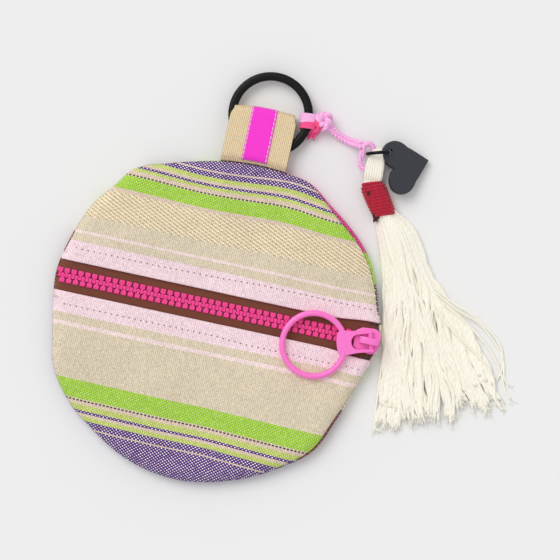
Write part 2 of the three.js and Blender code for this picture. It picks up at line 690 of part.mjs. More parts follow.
// Cord tied round the ring's band: a wrap, the knot beside it and a short tail. Its own +X points outwards.
function cordKnot() {
  const bandMid = keyRing / 2 - keyBand / 2;
  const wrapShape = roundedBox(keyBand + 2 * gap + 3.4, keyThick + 2 * gap + 3.6, 1.8);
  const bore = roundedBox(keyBand + 3 * gap, keyThick + 2 * gap, 0.4).getPoints(1);
  wrapShape.holes.push(new THREE.Path(bore));
  const wrap = extrude(wrapShape, 3.4, { curveSegments: 3 }).translate(0, 0, -1.7).rotateX(Math.PI / 2);
  wrap.translate(bandMid, 0, keyLift + keyThick / 2);
  const lump = (x, y, z, a, b, c) => new THREE.IcosahedronGeometry(1, 1).scale(a, b, c).translate(x, y, z);
  const knot = lump(bandMid + 6, 0.2, 4.1, 3.5, 4.4, 3.2);
  const tail = lump(bandMid + 3.6, -5.2, 2.6, 1.5, 3.2, 1.5);
  const bridgeLump = lump(bandMid + 4.4, -2.8, 3.4, 1.8, 2, 1.8);
  return join([wrap, knot, bridgeLump, tail]);
}

// Free stretch of cord, a tube with eight sides.
function pinkCord() {
  const first = { x: keyAt.x + cordStart.x, y: keyAt.y + cordStart.y };
  const last = { x: loopAt.x + cordEnd.x, y: loopAt.y + cordEnd.y };
  const span = cordRoute.at(-1);
  const stretch = { x: (last.x - first.x) / span.x, y: (last.y - first.y) / span.y };
  const path = new THREE.CatmullRomCurve3(cordRoute.map(
    ({ x, y, z }) => new THREE.Vector3(first.x + x * stretch.x, first.y + y * stretch.y, z),
  ));
  const section = new THREE.Shape();
  section.absarc(0, 0, cordThick / 2, 0, 2 * Math.PI);
  return new THREE.ExtrudeGeometry(section, { steps: 12, curveSegments: 4, extrudePath: path });
}

// End loop of the cord, a closed racetrack whose near side passes through the jump ring.
function cordEndLoop() {
  const { thick } = cordLoop;
  const [halfLong, halfWide] = [(cordLoop.long - thick) / 2, (cordLoop.wide - thick) / 2];
  const straight = halfLong - halfWide;
  const sections = [];
  const steps = 16;
  for (let i = 0; i < steps; i += 1) {
    const a = (2 * Math.PI * i) / steps;
    const [c, s] = [Math.cos(a), Math.sin(a)];
    const centre = new THREE.Vector3(halfWide * c, halfWide * s + Math.sign(s) * straight, 0);
    const across = new THREE.Vector3(c, s, 0).normalize();
    sections.push(oval(centre, across, thick / 2, new THREE.Vector3(0, 0, 1), thick / 2, 6));
  }
  return ringOf(sections);
}

// Tube through sections that closes on itself.
function ringOf(sections) {
  const sides = sections[0].length;
  const count = sections.length;
  const faces = [];
  for (let i = 0; i < count; i += 1) {
    for (let k = 0; k < sides; k += 1) {
      const next = ((i + 1) % count) * sides;
      const [a, b] = [i * sides + k, i * sides + ((k + 1) % sides)];
      const [c, d] = [next + ((k + 1) % sides), next + k];
      faces.push([a, b, c], [a, c, d]);
    }
  }
  return fromPoints(sections.flat(), faces);
}

// Heart about its notch, its point towards +X.
function heartTag() {
  const point = heartLong * 0.8;
  const lobe = heartLong - point;
  const half = heartWide / 2;
  const shape = new THREE.Shape();
  shape.moveTo(0, 0);
  shape.bezierCurveTo(-lobe * 0.8, half * 0.1, -lobe * 1.35, half * 0.62, -lobe * 0.55, half * 0.86);
  shape.bezierCurveTo(lobe * 0.2, half * 1.1, lobe * 1.3, half * 1.02, point * 0.5, half * 0.64);
  shape.lineTo(point, 0);
  shape.lineTo(point * 0.5, -half * 0.64);
  shape.bezierCurveTo(lobe * 1.3, -half * 1.02, lobe * 0.2, -half * 1.1, -lobe * 0.55, -half * 0.86);
  shape.bezierCurveTo(-lobe * 1.35, -half * 0.62, -lobe * 0.8, -half * 0.1, 0, 0);
  const hole = new THREE.Path();
  hole.absarc(heartHole.x, heartHole.y, heartHole.wide / 2, 0, 2 * Math.PI);
  shape.holes.push(hole);
  return plate(shape, 0, heartThick);
}

// Binding: a collar of wound thread, slightly waisted, lying on its side along +X.
function tasselWrap() {
  const turns = [
    { along: 0, wide: 0.9 }, { along: 0.08, wide: 1.02 }, { along: 0.5, wide: 1 }, { along: 0.92, wide: 0.97 },
    { along: 1, wide: 0.88 },
  ];
  const section = ({ along, wide }, less) => oval(
    new THREE.Vector3(along * wrapLength, 0, wrapHigh / 2),
    new THREE.Vector3(0, 1, 0), (wrapWide / 2) * wide - less,
    new THREE.Vector3(0, 0, 1), (wrapHigh / 2) * wide - less, 12,
  );
  const body = loft(turns.map((turn) => section(turn, 0)));
  const through = { along: -0.1, wide: 0.88 };
  const bore = loft([section(through, wrapThick), section({ ...through, along: 1.1 }, wrapThick)]);
  return cut(body, [bore]);
}

// Head loop, core through the binding and the fanned locks of the skirt, one body, along +X.
function tassel() {
  const side = new THREE.Vector3(0, 1, 0);
  const up = new THREE.Vector3(0, 0, 1);
  const coreWide = (wrapWide / 2) * 0.88 - wrapThick - 1.4 * gap;
  const coreHigh = (wrapHigh / 2) * 0.88 - wrapThick - 1.4 * gap;
  const middle = wrapHigh / 2;
  const core = loft([-gap, wrapLength * 0.5, wrapLength + 1.5].map((x) => (
    oval(new THREE.Vector3(x, 0, middle), side, coreWide, up, coreHigh, 10))));
  return join([core, headLoop(middle, coreHigh), ...Array.from({ length: lockCount }, (_, k) => lock(k))]);
}

// One lock of the skirt, from the binding to its tip.
function lock(k) {
  const side = new THREE.Vector3(0, 1, 0);
  const up = new THREE.Vector3(0, 0, 1);
  const place = (k + 0.5) / lockCount;
  const reach = lockReach[k % lockReach.length];
  const sections = skirt.map((row) => {
    const along = row.along * reach;
    const [left, right] = ['left', 'right'].map((c) => skirtWide * row[c]);
    const share = (right - left) / lockCount;
    const slim = row.along > 0.6 ? 1.3 - (row.along - 0.6) * 1.5 : 1.3;
    const gathered = row.along < 0.05;
    const high = (skirtHigh / 2) * row.high * (gathered ? 1 : 1 - 0.5 * Math.abs(place - 0.5));
    const level = gathered ? wrapHigh / 2 : high;
    const centre = new THREE.Vector3(wrapLength + skirtLength * along, lerp(left, right, place), level);
    return oval(centre, side, share * slim * 0.75, up, high, 6);
  });
  return loft(sections);
}

// Loop of yarn above the binding, round the lowest wire of the jump ring.
function headLoop(middle, coreHigh) {
  const toRing = new THREE.Vector3(jumpAt.x - tasselAt.x, jumpAt.y - tasselAt.y, 0);
  toRing.applyAxisAngle(new THREE.Vector3(0, 0, 1), -degrees(tasselTurn));
  const reach = toRing.length() + jumpWire / 2 + gap + 0.8 * headThick;
  const ahead = toRing.clone().normalize();
  const across = new THREE.Vector3(-ahead.y, ahead.x, 0);
  const high = middle + coreHigh;
  const low = headThick / 2;
  const path = [
    { out: -0.8, z: middle + coreHigh * 0.3, wide: 0.55, shift: 0, thick: 1 },
    { out: 1.2, z: middle + coreHigh * 0.35, wide: 0.55, shift: 0, thick: 1 },
    { out: 3.4, z: high + 0.3, wide: 0.95, shift: 0.3, thick: 1 },
    { out: reach * 0.55, z: high + 0.9, wide: 1, shift: 0.6, thick: 1 },
    { out: reach - 3.8, z: high + 0.95, wide: 0.7, shift: 0.3, thick: 1 },
    { out: reach - 1.6, z: high + 0.6, wide: 0.36, shift: -0.1, thick: 1.2 },
    { out: reach, z: middle + 0.4, wide: 0.36, shift: -0.1, thick: 1.2 },
    { out: reach - 0.2, z: 1.5, wide: 0.36, shift: -0.1, thick: 1.2 },
    { out: reach - 1.7, z: low, wide: 0.5, shift: 0, thick: 1 },
    { out: reach * 0.5, z: low, wide: 0.9, shift: 0.6, thick: 1 },
    { out: 3.2, z: low + 0.2, wide: 0.9, shift: 0.2, thick: 1 },
    { out: 1.2, z: middle - coreHigh * 0.4, wide: 0.55, shift: 0, thick: 1 },
    { out: -0.8, z: middle - coreHigh * 0.3, wide: 0.55, shift: 0, thick: 1 },
  ];
  const sections = path.map((p, k) => {
    const [a, b] = [path[Math.max(0, k - 1)], path[Math.min(path.length - 1, k + 1)]];
    const up = ahead.clone().multiplyScalar(a.z - b.z).setZ(b.out - a.out).normalize();
    const centre = ahead.clone().multiplyScalar(p.out).setZ(p.z).addScaledVector(across, p.shift);
    return oval(centre, across, (headWide / 2) * p.wide, up, (headThick / 2) * p.thick, 6);
  });
  return loft(sections);
}

const material = (color, roughness, metalness = 0) => new THREE.MeshStandardMaterial({ color, roughness, metalness });
const canvas = '#dccdb4';
const green = '#a3ca5a';
const tapeBrown = '#753f2e';
const zipPink = '#e6428c';
const pullPink = '#f564b9';

const group = new THREE.Group();

function add(name, geometry, look, parent = group) {
  const mesh = new THREE.Mesh(closed(geometry), look);
  mesh.name = name;
  parent.add(mesh);
  return mesh;
}

add('back_panel', backPanel(), material(green, 0.9));
add('front_panel_upper', frontPanel(1), material(canvas, 0.9));
add('front_panel_lower', frontPanel(-1), material(canvas, 0.9));
add('zip_tape_upper', zipTape(1), material(tapeBrown, 0.85));
add('zip_tape_lower', zipTape(-1), material(tapeBrown, 0.85));
for (const [name, side] of [['zip_teeth_upper', 1], ['zip_teeth_lower', -1]]) {
  add(name, zipTeeth(side), material(zipPink, 0.4)).position.set(0, zipY, tapeMid);
}
add('slider', slider(), material(pullPink, 0.35)).position.copy(sliderAt);

// The pull hangs on its bar under the bridge and lies back over the zip.
const pull = new THREE.Group();
const sliderTop = toothThick / 2 + gap + sliderPlate;
pull.position.set(sliderAt.x + barAt, zipY, tapeMid + sliderTop + barLift);
pull.rotation.z = degrees(180 + pullTurn);
add('ring_pull', ringPull(), material(pullPink, 0.35), pull);
group.add(pull);

add('strap_tab', strapTab(), material('#d7c396', 0.9));
add('tab_ribbon', tabRibbon(), material('#f630c8', 0.6));
add('key_ring', keyRingBody(), material('#19191b', 0.35, 0.6)).position.set(keyAt.x, keyAt.y, keyLift);

const knot = add('cord_knot', cordKnot(), material('#fa82cd', 0.8));
knot.position.set(keyAt.x, keyAt.y, 0);
knot.rotation.z = degrees(knotAngle);
add('pink_cord', pinkCord(), material('#fa82cd', 0.8));
const endLoop = add('cord_end_loop', cordEndLoop(), material('#fa82cd', 0.8));
endLoop.position.set(loopAt.x, loopAt.y, cordLoop.z);
endLoop.rotation.y = degrees(cordLoop.tilt);

const jump = new THREE.TorusGeometry(jumpRing / 2 - jumpWire / 2, jumpWire / 2, 6, 18).rotateX(Math.PI / 2);
const jumpMesh = add('jump_ring', jump, material('#141416', 0.35, 0.6));
jumpMesh.position.set(jumpAt.x, jumpAt.y, headThick + gap + jumpRing / 2);
jumpMesh.rotation.z = degrees(jumpTurn);

// The heart rests on its point and leans on the jump ring that passes through its hole.
const upright = new THREE.Vector3(0, 0, 1);
const heart = new THREE.Group();
heart.rotation.z = degrees(heartTurn);
const wire = new THREE.Vector3((jumpRing - jumpWire) / 2 - 0.1, 0, 0).applyAxisAngle(upright, degrees(jumpTurn));
const hole = new THREE.Vector3(heartHole.x * Math.cos(degrees(heartTilt)), heartHole.y, 0);
hole.applyAxisAngle(upright, degrees(heartTurn));
const tipDrop = heartLong * 0.8 * Math.sin(degrees(heartTilt));
heart.position.set(jumpAt.x + wire.x - hole.x, jumpAt.y + wire.y - hole.y, tipDrop + 0.05);
const heartMesh = add('heart_tag', heartTag(), material('#3e4046', 0.6), heart);
heartMesh.rotation.y = degrees(heartTilt);
group.add(heart);

const hanging = new THREE.Group();
hanging.position.set(tasselAt.x, tasselAt.y, 0);
hanging.rotation.z = degrees(tasselTurn);
add('tassel_wrap', tasselWrap(), material('#961e2d', 0.85), hanging);
add('tassel', tassel(), material('#eee9d7', 0.9), hanging);
group.add(hanging);

export default group;
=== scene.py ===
# %% [markdown]
# Round canvas pouch with a zip, a webbing tab with a key ring, a heart tag and a cotton tassel.
# The CAD model holds every piece at its real size. This script dresses it: cloth with its stripes and
# weave, moulded teeth, yarn and thread. Everything is in the CAD's frame, so nothing has to be fitted.

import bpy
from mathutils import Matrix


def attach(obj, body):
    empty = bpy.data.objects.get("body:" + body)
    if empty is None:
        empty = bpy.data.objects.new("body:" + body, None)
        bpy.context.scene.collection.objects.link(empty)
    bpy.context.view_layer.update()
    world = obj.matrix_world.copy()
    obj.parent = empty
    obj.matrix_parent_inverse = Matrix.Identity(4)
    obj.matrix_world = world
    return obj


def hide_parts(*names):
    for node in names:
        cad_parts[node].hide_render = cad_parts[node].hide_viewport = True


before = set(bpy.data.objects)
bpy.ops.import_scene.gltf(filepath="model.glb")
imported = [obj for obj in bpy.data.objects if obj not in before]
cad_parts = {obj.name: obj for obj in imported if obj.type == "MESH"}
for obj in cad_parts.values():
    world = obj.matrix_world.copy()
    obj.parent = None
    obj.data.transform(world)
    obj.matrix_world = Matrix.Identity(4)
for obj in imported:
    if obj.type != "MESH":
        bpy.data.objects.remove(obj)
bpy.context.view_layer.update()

import bmesh
import bpy
import numpy as np

MM = 0.001
rng = np.random.default_rng(7)
scene = bpy.context.scene
print("tools ready, lengths in millimetres until they reach a mesh")

# %% [markdown]
# The photograph looks straight down at the bag, turned so that the zip runs down to the right by
# 12.2 degrees. One pixel is 0.4 mm, so the frame is 224 mm wide. A long lens keeps the edges square.

# %% Camera
ROLL = 12.2
VIEW_WIDTH = 224.0
LENS = 200.0
camera_data = bpy.data.cameras.new("camera")
camera_data.lens = LENS
camera_data.sensor_width = 36.0
camera_data.clip_start, camera_data.clip_end = 0.01, 10.0
camera = bpy.data.objects.new("camera", camera_data)
scene.collection.objects.link(camera)
camera.location = (0.02156, 0.02144, (VIEW_WIDTH * LENS / 36.0 + 5.0) * MM)
camera.rotation_euler = (0.0, 0.0, np.radians(ROLL))
scene.camera = camera
print("camera height, m:", round(camera.location.z, 3))

# %% [markdown]
# A studio sweep in a light tent: the floor is a pale plane, the sky is even white, and one wide soft
# lamp stands for the window of the tent, so that shadows stay short and faint.

# %% Floor and light
def linear(code):
    """Linear colour from an sRGB hex code."""
    s = np.array([int(code[i:i + 2], 16) for i in (1, 3, 5)]) / 255
    return (*np.where(s <= 0.04045, s / 12.92, ((s + 0.055) / 1.055) ** 2.4), 1.0)


def put(name, points, *blocks, uv=None, corner_uv=None, smooth=True):
    """Mesh piece from points (n, 3) in millimetres and blocks of faces, each (m, corners)."""
    corners = np.concatenate([np.asarray(b).ravel() for b in blocks]).astype(np.int32)
    sizes = np.concatenate([np.full(len(b), np.asarray(b).shape[1]) for b in blocks])
    mesh = bpy.data.meshes.new(name)
    mesh.vertices.add(len(points))
    mesh.vertices.foreach_set("co", (np.asarray(points) * MM).astype(np.float32).ravel())
    mesh.loops.add(len(corners))
    mesh.loops.foreach_set("vertex_index", corners)
    mesh.polygons.add(len(sizes))
    mesh.polygons.foreach_set("loop_start", np.concatenate([[0], np.cumsum(sizes)[:-1]]).astype(np.int32))
    mesh.polygons.foreach_set("use_smooth", np.full(len(sizes), smooth))
    if uv is not None:
        corner_uv = np.asarray(uv)[corners]
    if corner_uv is not None:
        layer = mesh.uv_layers.new(name="lay")
        layer.data.foreach_set("uv", np.asarray(corner_uv, np.float32).ravel())
    mesh.update(calc_edges=True)
    mesh.validate()
    piece = bpy.data.objects.new(name, mesh)
    scene.collection.objects.link(piece)
    return piece


def add(tree, kind, links=(), **settings):
    """Node of a kind with its settings; links are (input, value or socket)."""
    node = tree.nodes.new(kind)
    for key, value in settings.items():
        setattr(node, key, value)
    for key, value in links:
        if isinstance(value, bpy.types.NodeSocket):
            tree.links.new(value, node.inputs[key])
        else:
            node.inputs[key].default_value = value
    return node


PAPER_LEVEL = 0.02  # the back presses this far into the paper, so that the two faces never coincide
FLOOR_HALF = 900
corner_signs = np.array([(-1, -1), (1, -1), (1, 1), (-1, 1)])
floor_corners = np.column_stack([FLOOR_HALF * corner_signs, np.full(4, PAPER_LEVEL)])
floor = put("floor", floor_corners, [[0, 1, 2, 3]])
paper = bpy.data.materials.new("pale_paper")
paper.use_nodes = True
paper_shader = paper.node_tree.nodes["Principled BSDF"]
paper_shader.inputs["Base Color"].default_value = linear("#f0f0f0")
paper_shader.inputs["Roughness"].default_value = 0.85
floor.data.materials.append(paper)

world = bpy.data.worlds.new("tent")
world.use_nodes = True
world.node_tree.nodes["Background"].inputs["Color"].default_value = (1.0, 1.0, 1.0, 1.0)
world.node_tree.nodes["Background"].inputs["Strength"].default_value = 0.66
scene.world = world
lamp_data = bpy.data.lights.new("window", "SUN")
lamp_data.energy = 1.25
lamp_data.angle = np.radians(38)
lamp = bpy.data.objects.new("window", lamp_data)
lamp.rotation_euler = (np.radians(-22), np.radians(-30), 0.0)
scene.collection.objects.link(lamp)
scene.view_settings.view_transform = "Standard"
print("floor, sky and one soft lamp")

# %% [markdown]
# The pouch's outline was read off the photograph: cut by hand and turned inside out, it is round only
# roughly. The table gives its radius, how much of the back cloth shows and how tight the rim's roll is.
# A smooth curve through the rows gives every other angle.

# %% Outline of the pouch
RADIUS, RIM_HEIGHT, ZIP_LEVEL, CROWN, RIM_ROLL, GAP = 66.0, 3.6, 8.6, 0.9, 6.0, 0.3
ZIP_Y, TAPE_SHOW, ZIP_FLARE = 5.2, 6.2, 1.5
SLIDER_X, SLIDER_LENGTH = 60.7, 10.4
RIM = np.array([  # angle, radius share, peek share, roll share
    (-3, 0.97, 0.05, 0.5), (4, 1.0, 0.08, 0.5), (9.5, 1.004, 0.1, 0.5), (16, 0.988, 0.12, 0.8),
    (25, 0.996, 0.14, 1), (37, 1.003, 0.2, 1), (49, 0.99, 0.24, 1), (58, 0.988, 0.12, 1),
    (68, 1.012, 0.02, 1), (77, 0.99, 0.01, 0.9), (90, 0.973, 0.01, 0.9), (102, 0.972, 0.01, 0.9),
    (110, 0.978, 0.01, 1), (119, 1.0, 0.01, 1), (130, 1.048, 0.01, 1.1), (140, 1.027, 0.02, 1),
    (148, 1.032, 0.02, 1), (162, 1.019, 0.08, 1), (175, 1.016, 0.04, 1), (185, 0.997, 0.01, 1),
    (197, 0.996, 0.01, 1), (207, 1.024, 0.01, 1), (221, 1.018, 0.01, 1), (233, 0.998, 0.01, 1),
    (252, 0.998, 0.01, 1), (270, 0.99, 0.01, 1), (285, 0.974, 0.02, 1), (305, 0.971, 0.06, 1),
    (319, 0.985, 0.14, 1), (332, 0.947, 0.16, 1), (346, 0.94, 0.08, 0.9),
])


def around(column, angle):
    """Cubic through the rows of RIM, whose slope at a row is that from its neighbour to its neighbour."""
    at = np.concatenate([RIM[-2:, 0] - 360, RIM[:, 0], RIM[:3, 0] + 360])
    value = np.concatenate([RIM[-2:, column], RIM[:, column], RIM[:3, column]])
    a = (np.asarray(angle, float) - at[2]) % 360 + at[2]
    k = np.searchsorted(at, a, side="right") - 1
    span = at[k + 1] - at[k]
    t = (a - at[k]) / span
    low = (value[k + 1] - value[k - 1]) / (at[k + 1] - at[k - 1]) * span
    high = (value[k + 2] - value[k]) / (at[k + 2] - at[k]) * span
    return ((2 * t**3 - 3 * t**2 + 1) * value[k] + (t**3 - 2 * t**2 + t) * low
            + (3 * t**2 - 2 * t**3) * value[k + 1] + (t**3 - t**2) * high)


def rim_point(angle):
    reach = RADIUS * around(1, angle)
    return np.stack([reach * np.cos(np.radians(angle)), reach * np.sin(np.radians(angle))], -1)


def rim_angle(y, slider_side):
    """Angle at which the outline crosses the height y, found by going back and forth."""
    angle = 0.0 if slider_side else 180.0
    for _ in range(12):
        lean = np.degrees(np.arcsin(y / (RADIUS * around(1, angle))))
        angle = lean if slider_side else 180 - lean
    return float(angle)


def smoothstep(x, low, high):
    t = np.clip((x - low) / (high - low), 0, 1)
    return t * t * (3 - 2 * t)


def seam_angle(angle):
    return np.arccos(1 - np.maximum(0, around(2, angle)))


print("widest outline, mm:", round(float(np.ptp(rim_point(np.arange(360.0))[:, 0])), 1))

# %% [markdown]
# The front is two pieces of canvas with their edges folded along the zip. Each is a fan of rays from
# the middle of its folded edge: across the front, over the round rim and down to the seam. Soft folds
# are wide low bumps, the seam gathers the rim in small puckers, and the folded edge turns under.

# %% Shape of a front panel
# Each row: x and y, half length and half width as shares of the radius, turn, rise as share of CROWN
FOLDS = np.array([
    (0.5, 0.7, 0.34, 0.07, -48, -0.9), (0.3, 0.72, 0.3, 0.08, 12, 0.6),
    (-0.35, 0.62, 0.4, 0.1, 20, 0.5), (-0.62, 0.5, 0.25, 0.08, 40, -0.7),
    (0.1, -0.55, 0.5, 0.12, -6, 0.5), (0.45, -0.45, 0.3, 0.08, -30, -0.6),
    (-0.5, -0.5, 0.3, 0.09, 32, -0.5),
])
HEM = 0.55


def fold_height(x, y):
    """Sum of bumps that fall off as exp(-distance squared), each stretched along its own turn."""
    total = np.zeros_like(x)
    for fx, fy, long, wide, turn, rise in FOLDS:
        c, s = np.cos(np.radians(turn)), np.sin(np.radians(turn))
        dx, dy = x - fx * RADIUS, y - fy * RADIUS
        along, across = (dx * c + dy * s) / (long * RADIUS), (dy * c - dx * s) / (wide * RADIUS)
        total += rise * CROWN * np.exp(-along**2 - across**2)
    return total


def ripple(x, y):
    """Slight unevenness of washed canvas: three crossing sine waves, 9 to 23 mm long."""
    return (0.10 * np.sin(x / 3.7 + 1.3 * np.sin(y / 7)) * np.sin(y / 5.1)
            + 0.07 * np.sin((x + y) / 1.5 + 2 * np.sin(x / 11)) * np.sin(y / 9 + 1))


def spread(x, y, side):
    """The folded edges stay straight along the zip and open a little beside the slider."""
    away = np.abs(y - ZIP_Y - side * TAPE_SHOW) / (0.15 * RADIUS)
    lean = np.clip(x / SLIDER_X, 0, 1)
    opened = smoothstep(x, SLIDER_X - 1.6 * SLIDER_LENGTH, SLIDER_X)
    return y + side * ZIP_FLARE * (opened - lean) * np.exp(-away**2)


def front_panel(side, rays=260, flat_rows=34, rim_rows=12):
    """Rays from the pole to the seam. Flat rows follow the crown, rim rows a quarter of an ellipse."""
    edge_y = ZIP_Y + side * (TAPE_SHOW + HEM)
    near = rim_angle(edge_y + side * ZIP_FLARE, True)
    far = rim_angle(edge_y, False)
    start, end = (near, far) if side > 0 else (far, 360 + near)
    angle = np.linspace(start, end, rays)[:, None]
    edge = rim_point(angle[:, 0])[:, None, :]
    pole = np.array([0.0, edge_y])
    inward = (pole - edge) / np.linalg.norm(pole - edge, axis=-1, keepdims=True)
    roll = (RIM_ROLL * around(3, angle))[..., None]
    share = (np.arange(flat_rows) / flat_rows)[None, :, None]
    flat = pole + (edge + inward * roll - pole) * share
    bottom = seam_angle(angle) + GAP / (ZIP_LEVEL - RIM_HEIGHT)
    a = np.pi / 2 + (bottom - np.pi / 2) * np.linspace(0, 1, rim_rows)[None, :]
    rim = edge + inward * roll * (1 - np.cos(a))[..., None]
    flat_z = ZIP_LEVEL + 0 * share[..., 0] * angle
    rim_z = RIM_HEIGHT + (ZIP_LEVEL - RIM_HEIGHT) * np.sin(a)
    xy = np.concatenate([flat, rim], 1)
    z = np.concatenate([flat_z, rim_z], 1)
    x, y = xy[..., 0], xy[..., 1]
    away = np.abs(y - edge_y) / (0.2 * RADIUS)
    puff = 1 - np.exp(-away**2)
    row = np.concatenate([np.linspace(0, 1, flat_rows + 1)[:-1], np.ones(rim_rows)])[None, :]
    z = z + puff * (1 - row**4) * CROWN + puff * (1 - row**6) * fold_height(x, y)
    z = z + ripple(x, y) * smoothstep(np.abs(y - edge_y), 1, 8) * (1 - row**8)
    pucker = np.sin(np.radians(angle) * 62 + 1.5 * np.sin(np.radians(angle) * 9))
    near_rim = np.concatenate([np.zeros(flat_rows), np.sin(np.linspace(0, np.pi, rim_rows))])[None, :]
    z = z + 0.14 * pucker * near_rim
    laid = np.stack([x, y], -1)
    points = np.stack([x, spread(x, y, side), z], -1)
    turned = np.radians([30, 60, 90, 120, 150, 180])
    shift = np.stack([0 * turned, -side * HEM * np.sin(turned), -HEM * (1 - np.cos(turned))], -1)
    shift = np.concatenate([shift, [[0, side * 2.6, -2 * HEM]]])
    first = points[:1] + shift[::-1, None, :]
    last = points[-1:] + shift[:, None, :]
    points = np.concatenate([first, points, last])
    lay_shift = shift[:, None, :2] * np.array([1.0, 1.6])
    laid = np.concatenate([laid[:1] + lay_shift[::-1], laid, laid[-1:] + lay_shift])
    return points, laid


def grid_faces(rows, columns, wrap_rows=False, wrap_columns=False):
    """Quads of a grid of points, as indices of its flattened points."""
    i = np.arange(rows if wrap_rows else rows - 1)[:, None]
    j = np.arange(columns if wrap_columns else columns - 1)[None, :]
    i2, j2 = (i + 1) % rows, (j + 1) % columns
    return np.stack([i * columns + j, i2 * columns + j, i2 * columns + j2, i * columns + j2],
                    -1).reshape(-1, 4)


def thicken(piece, thickness, offset=-1.0):
    """Gives a sheet its real thickness, below its outer face, with closed edges."""
    wall = piece.modifiers.new("wall", "SOLIDIFY")
    wall.thickness, wall.offset, wall.use_even_offset = thickness * MM, offset, False
    with bpy.context.temp_override(object=piece, active_object=piece):
        bpy.ops.object.modifier_apply(modifier="wall")


def merge(piece, distance=0.002):
    """Joins points that lie on each other, such as those of a pole."""
    work = bmesh.new()
    work.from_mesh(piece.data)
    bmesh.ops.remove_doubles(work, verts=work.verts, dist=distance * MM)
    bmesh.ops.dissolve_degenerate(work, edges=work.edges, dist=distance * MM)
    work.to_mesh(piece.data)
    work.free()


def keep_inside(piece):
    """Draws in every point that lies beyond the pouch's edge, so the hems end at the rim."""
    places = np.zeros(len(piece.data.vertices) * 3, np.float32)
    piece.data.vertices.foreach_get("co", places)
    places = places.reshape(-1, 3)
    reach = np.linalg.norm(places[:, :2], axis=1)
    edge = np.linalg.norm(rim_point(np.degrees(np.arctan2(places[:, 1], places[:, 0]))), axis=-1) * MM
    places[:, :2] *= np.minimum(1.0, edge / np.maximum(reach, MM))[:, None]
    piece.data.vertices.foreach_set("co", places.ravel())
    piece.data.update()


CLOTH = 0.7
panels = {}
for name, side in (("front_cloth_upper", 1), ("front_cloth_lower", -1)):
    points, laid = front_panel(side)
    cloth = put(name, points.reshape(-1, 3), grid_faces(*points.shape[:2])[:, ::-1],
                uv=laid.reshape(-1, 2))
    merge(cloth)
    thicken(cloth, CLOTH)
    keep_inside(cloth)
    panels[name] = cloth
    print(name, len(cloth.data.polygons), "faces")

# %% [markdown]
# The back is one piece of the same canvas, flat where it lies, rolled up to the seam, where a narrow
# edge of it shows beyond the front.

# %% Back panel
def back_panel(rays=300, rim_rows=14):
    """Rays from the middle to the seam: flat, then round the rim, lower half and upper half."""
    angle = np.arange(rays)[:, None] * 360.0 / rays
    edge = rim_point(angle[:, 0])[:, None, :]
    reach = np.linalg.norm(edge, axis=-1)
    roll = RIM_ROLL * around(3, angle)
    top = seam_angle(angle) - GAP / (ZIP_LEVEL - RIM_HEIGHT)
    a = -np.pi / 2 + (top + np.pi / 2) * np.linspace(0, 1, rim_rows)[None, :]
    flat = np.linspace(0, 1, 12)[None, 1:-1] * (reach - roll)
    radius = np.concatenate([flat, reach - roll + roll * np.cos(a)], 1)
    rise = np.where(a < 0, RIM_HEIGHT, ZIP_LEVEL - RIM_HEIGHT)
    z = np.concatenate([0 * flat, RIM_HEIGHT + rise * np.sin(a)], 1)
    xy = edge * (radius / reach)[..., None]
    return np.concatenate([xy, z[..., None]], -1)


points = back_panel()
rays, rows = points.shape[:2]
back_points = np.concatenate([points.reshape(-1, 3), [[0, 0, 0]]])
spokes = np.arange(rays)
centre_fan = np.stack([spokes * rows, np.full(rays, rays * rows), (spokes + 1) % rays * rows], -1)
back_cloth = put("back_cloth", back_points, grid_faces(rays, rows, wrap_rows=True), centre_fan,
                 uv=back_points[:, :2])
thicken(back_cloth, CLOTH)
panels["back_cloth"] = back_cloth
print("back cloth", len(back_cloth.data.polygons), "faces")

# %% [markdown]
# Striped cotton canvas, plain woven. Coloured weft makes the stripes, and the pale warp shows through
# as flecks. The weave is drawn cell by cell, 0.77 by 0.617 mm, the coarse pitch that the photograph
# shows. A ramp over the cloth's own length gives each stripe its colour, and its alpha how strongly the
# warp shows. One band has a dobby of slanted dashes, 1.5 by 0.7 mm, brown and pale in turn.

# %% Canvas
PURPLE, DARK, GREEN, LIME, WARP = "#511a7b", "#37304f", "#9fce2c", "#bfce62", "#fffaf4"
BEIGE, DOBBY, SHELL, PINK, BLUSH = "#dccdb2", "#ead8b2", "#dcc5af", "#f6d9e1", "#f5dcd8"
UPPER_STRIPES = [  # where the stripe starts in mm, colour, how far the warp shows
    (13, PINK, 0.3), (19.6, BEIGE, 0.3), (22.8, BLUSH, 0.3), (24.1, BEIGE, 0.3), (30.4, DOBBY, 0.15),
    (42.2, SHELL, 0.35), (43.8, GREEN, 0.34), (49.6, SHELL, 0.35), (51.9, LIME, 0.36),
    (53.1, PURPLE, 0.95), (54.4, SHELL, 0.35), (55.4, LIME, 0.36), (57.3, PURPLE, 0.95),
    (59.4, SHELL, 0.3), (60.2, PURPLE, 0.95),
]
LOWER_STRIPES = [
    (-70, PURPLE, 0.95), (-53.5, SHELL, 0.35), (-52.6, PURPLE, 0.95), (-50.2, LIME, 0.36),
    (-48.6, SHELL, 0.35), (-47.3, PURPLE, 0.95), (-46.0, LIME, 0.36), (-44.2, SHELL, 0.35),
    (-41.6, GREEN, 0.34), (-34.5, BEIGE, 0.3), (-14.6, BLUSH, 0.3), (-13.0, BEIGE, 0.3),
    (-9.5, PINK, 0.3),
]
BACK_STRIPES = [
    (-70, PURPLE, 0.8), (-52, "#7a3a3a", 0.25), (-24, BEIGE, 0.6), (-8, LIME, 0.6), (-2, BEIGE, 0.6),
    (16, "#5b4636", 0.8), (29, GREEN, 0.4), (38, "#d8378c", 0.2), (58, PURPLE, 0.8),
]


def maths(tree, operation, *values, clamp=False):
    node = add(tree, "ShaderNodeMath", [(i, v) for i, v in enumerate(values)], operation=operation,
               use_clamp=clamp)
    return node.outputs[0]


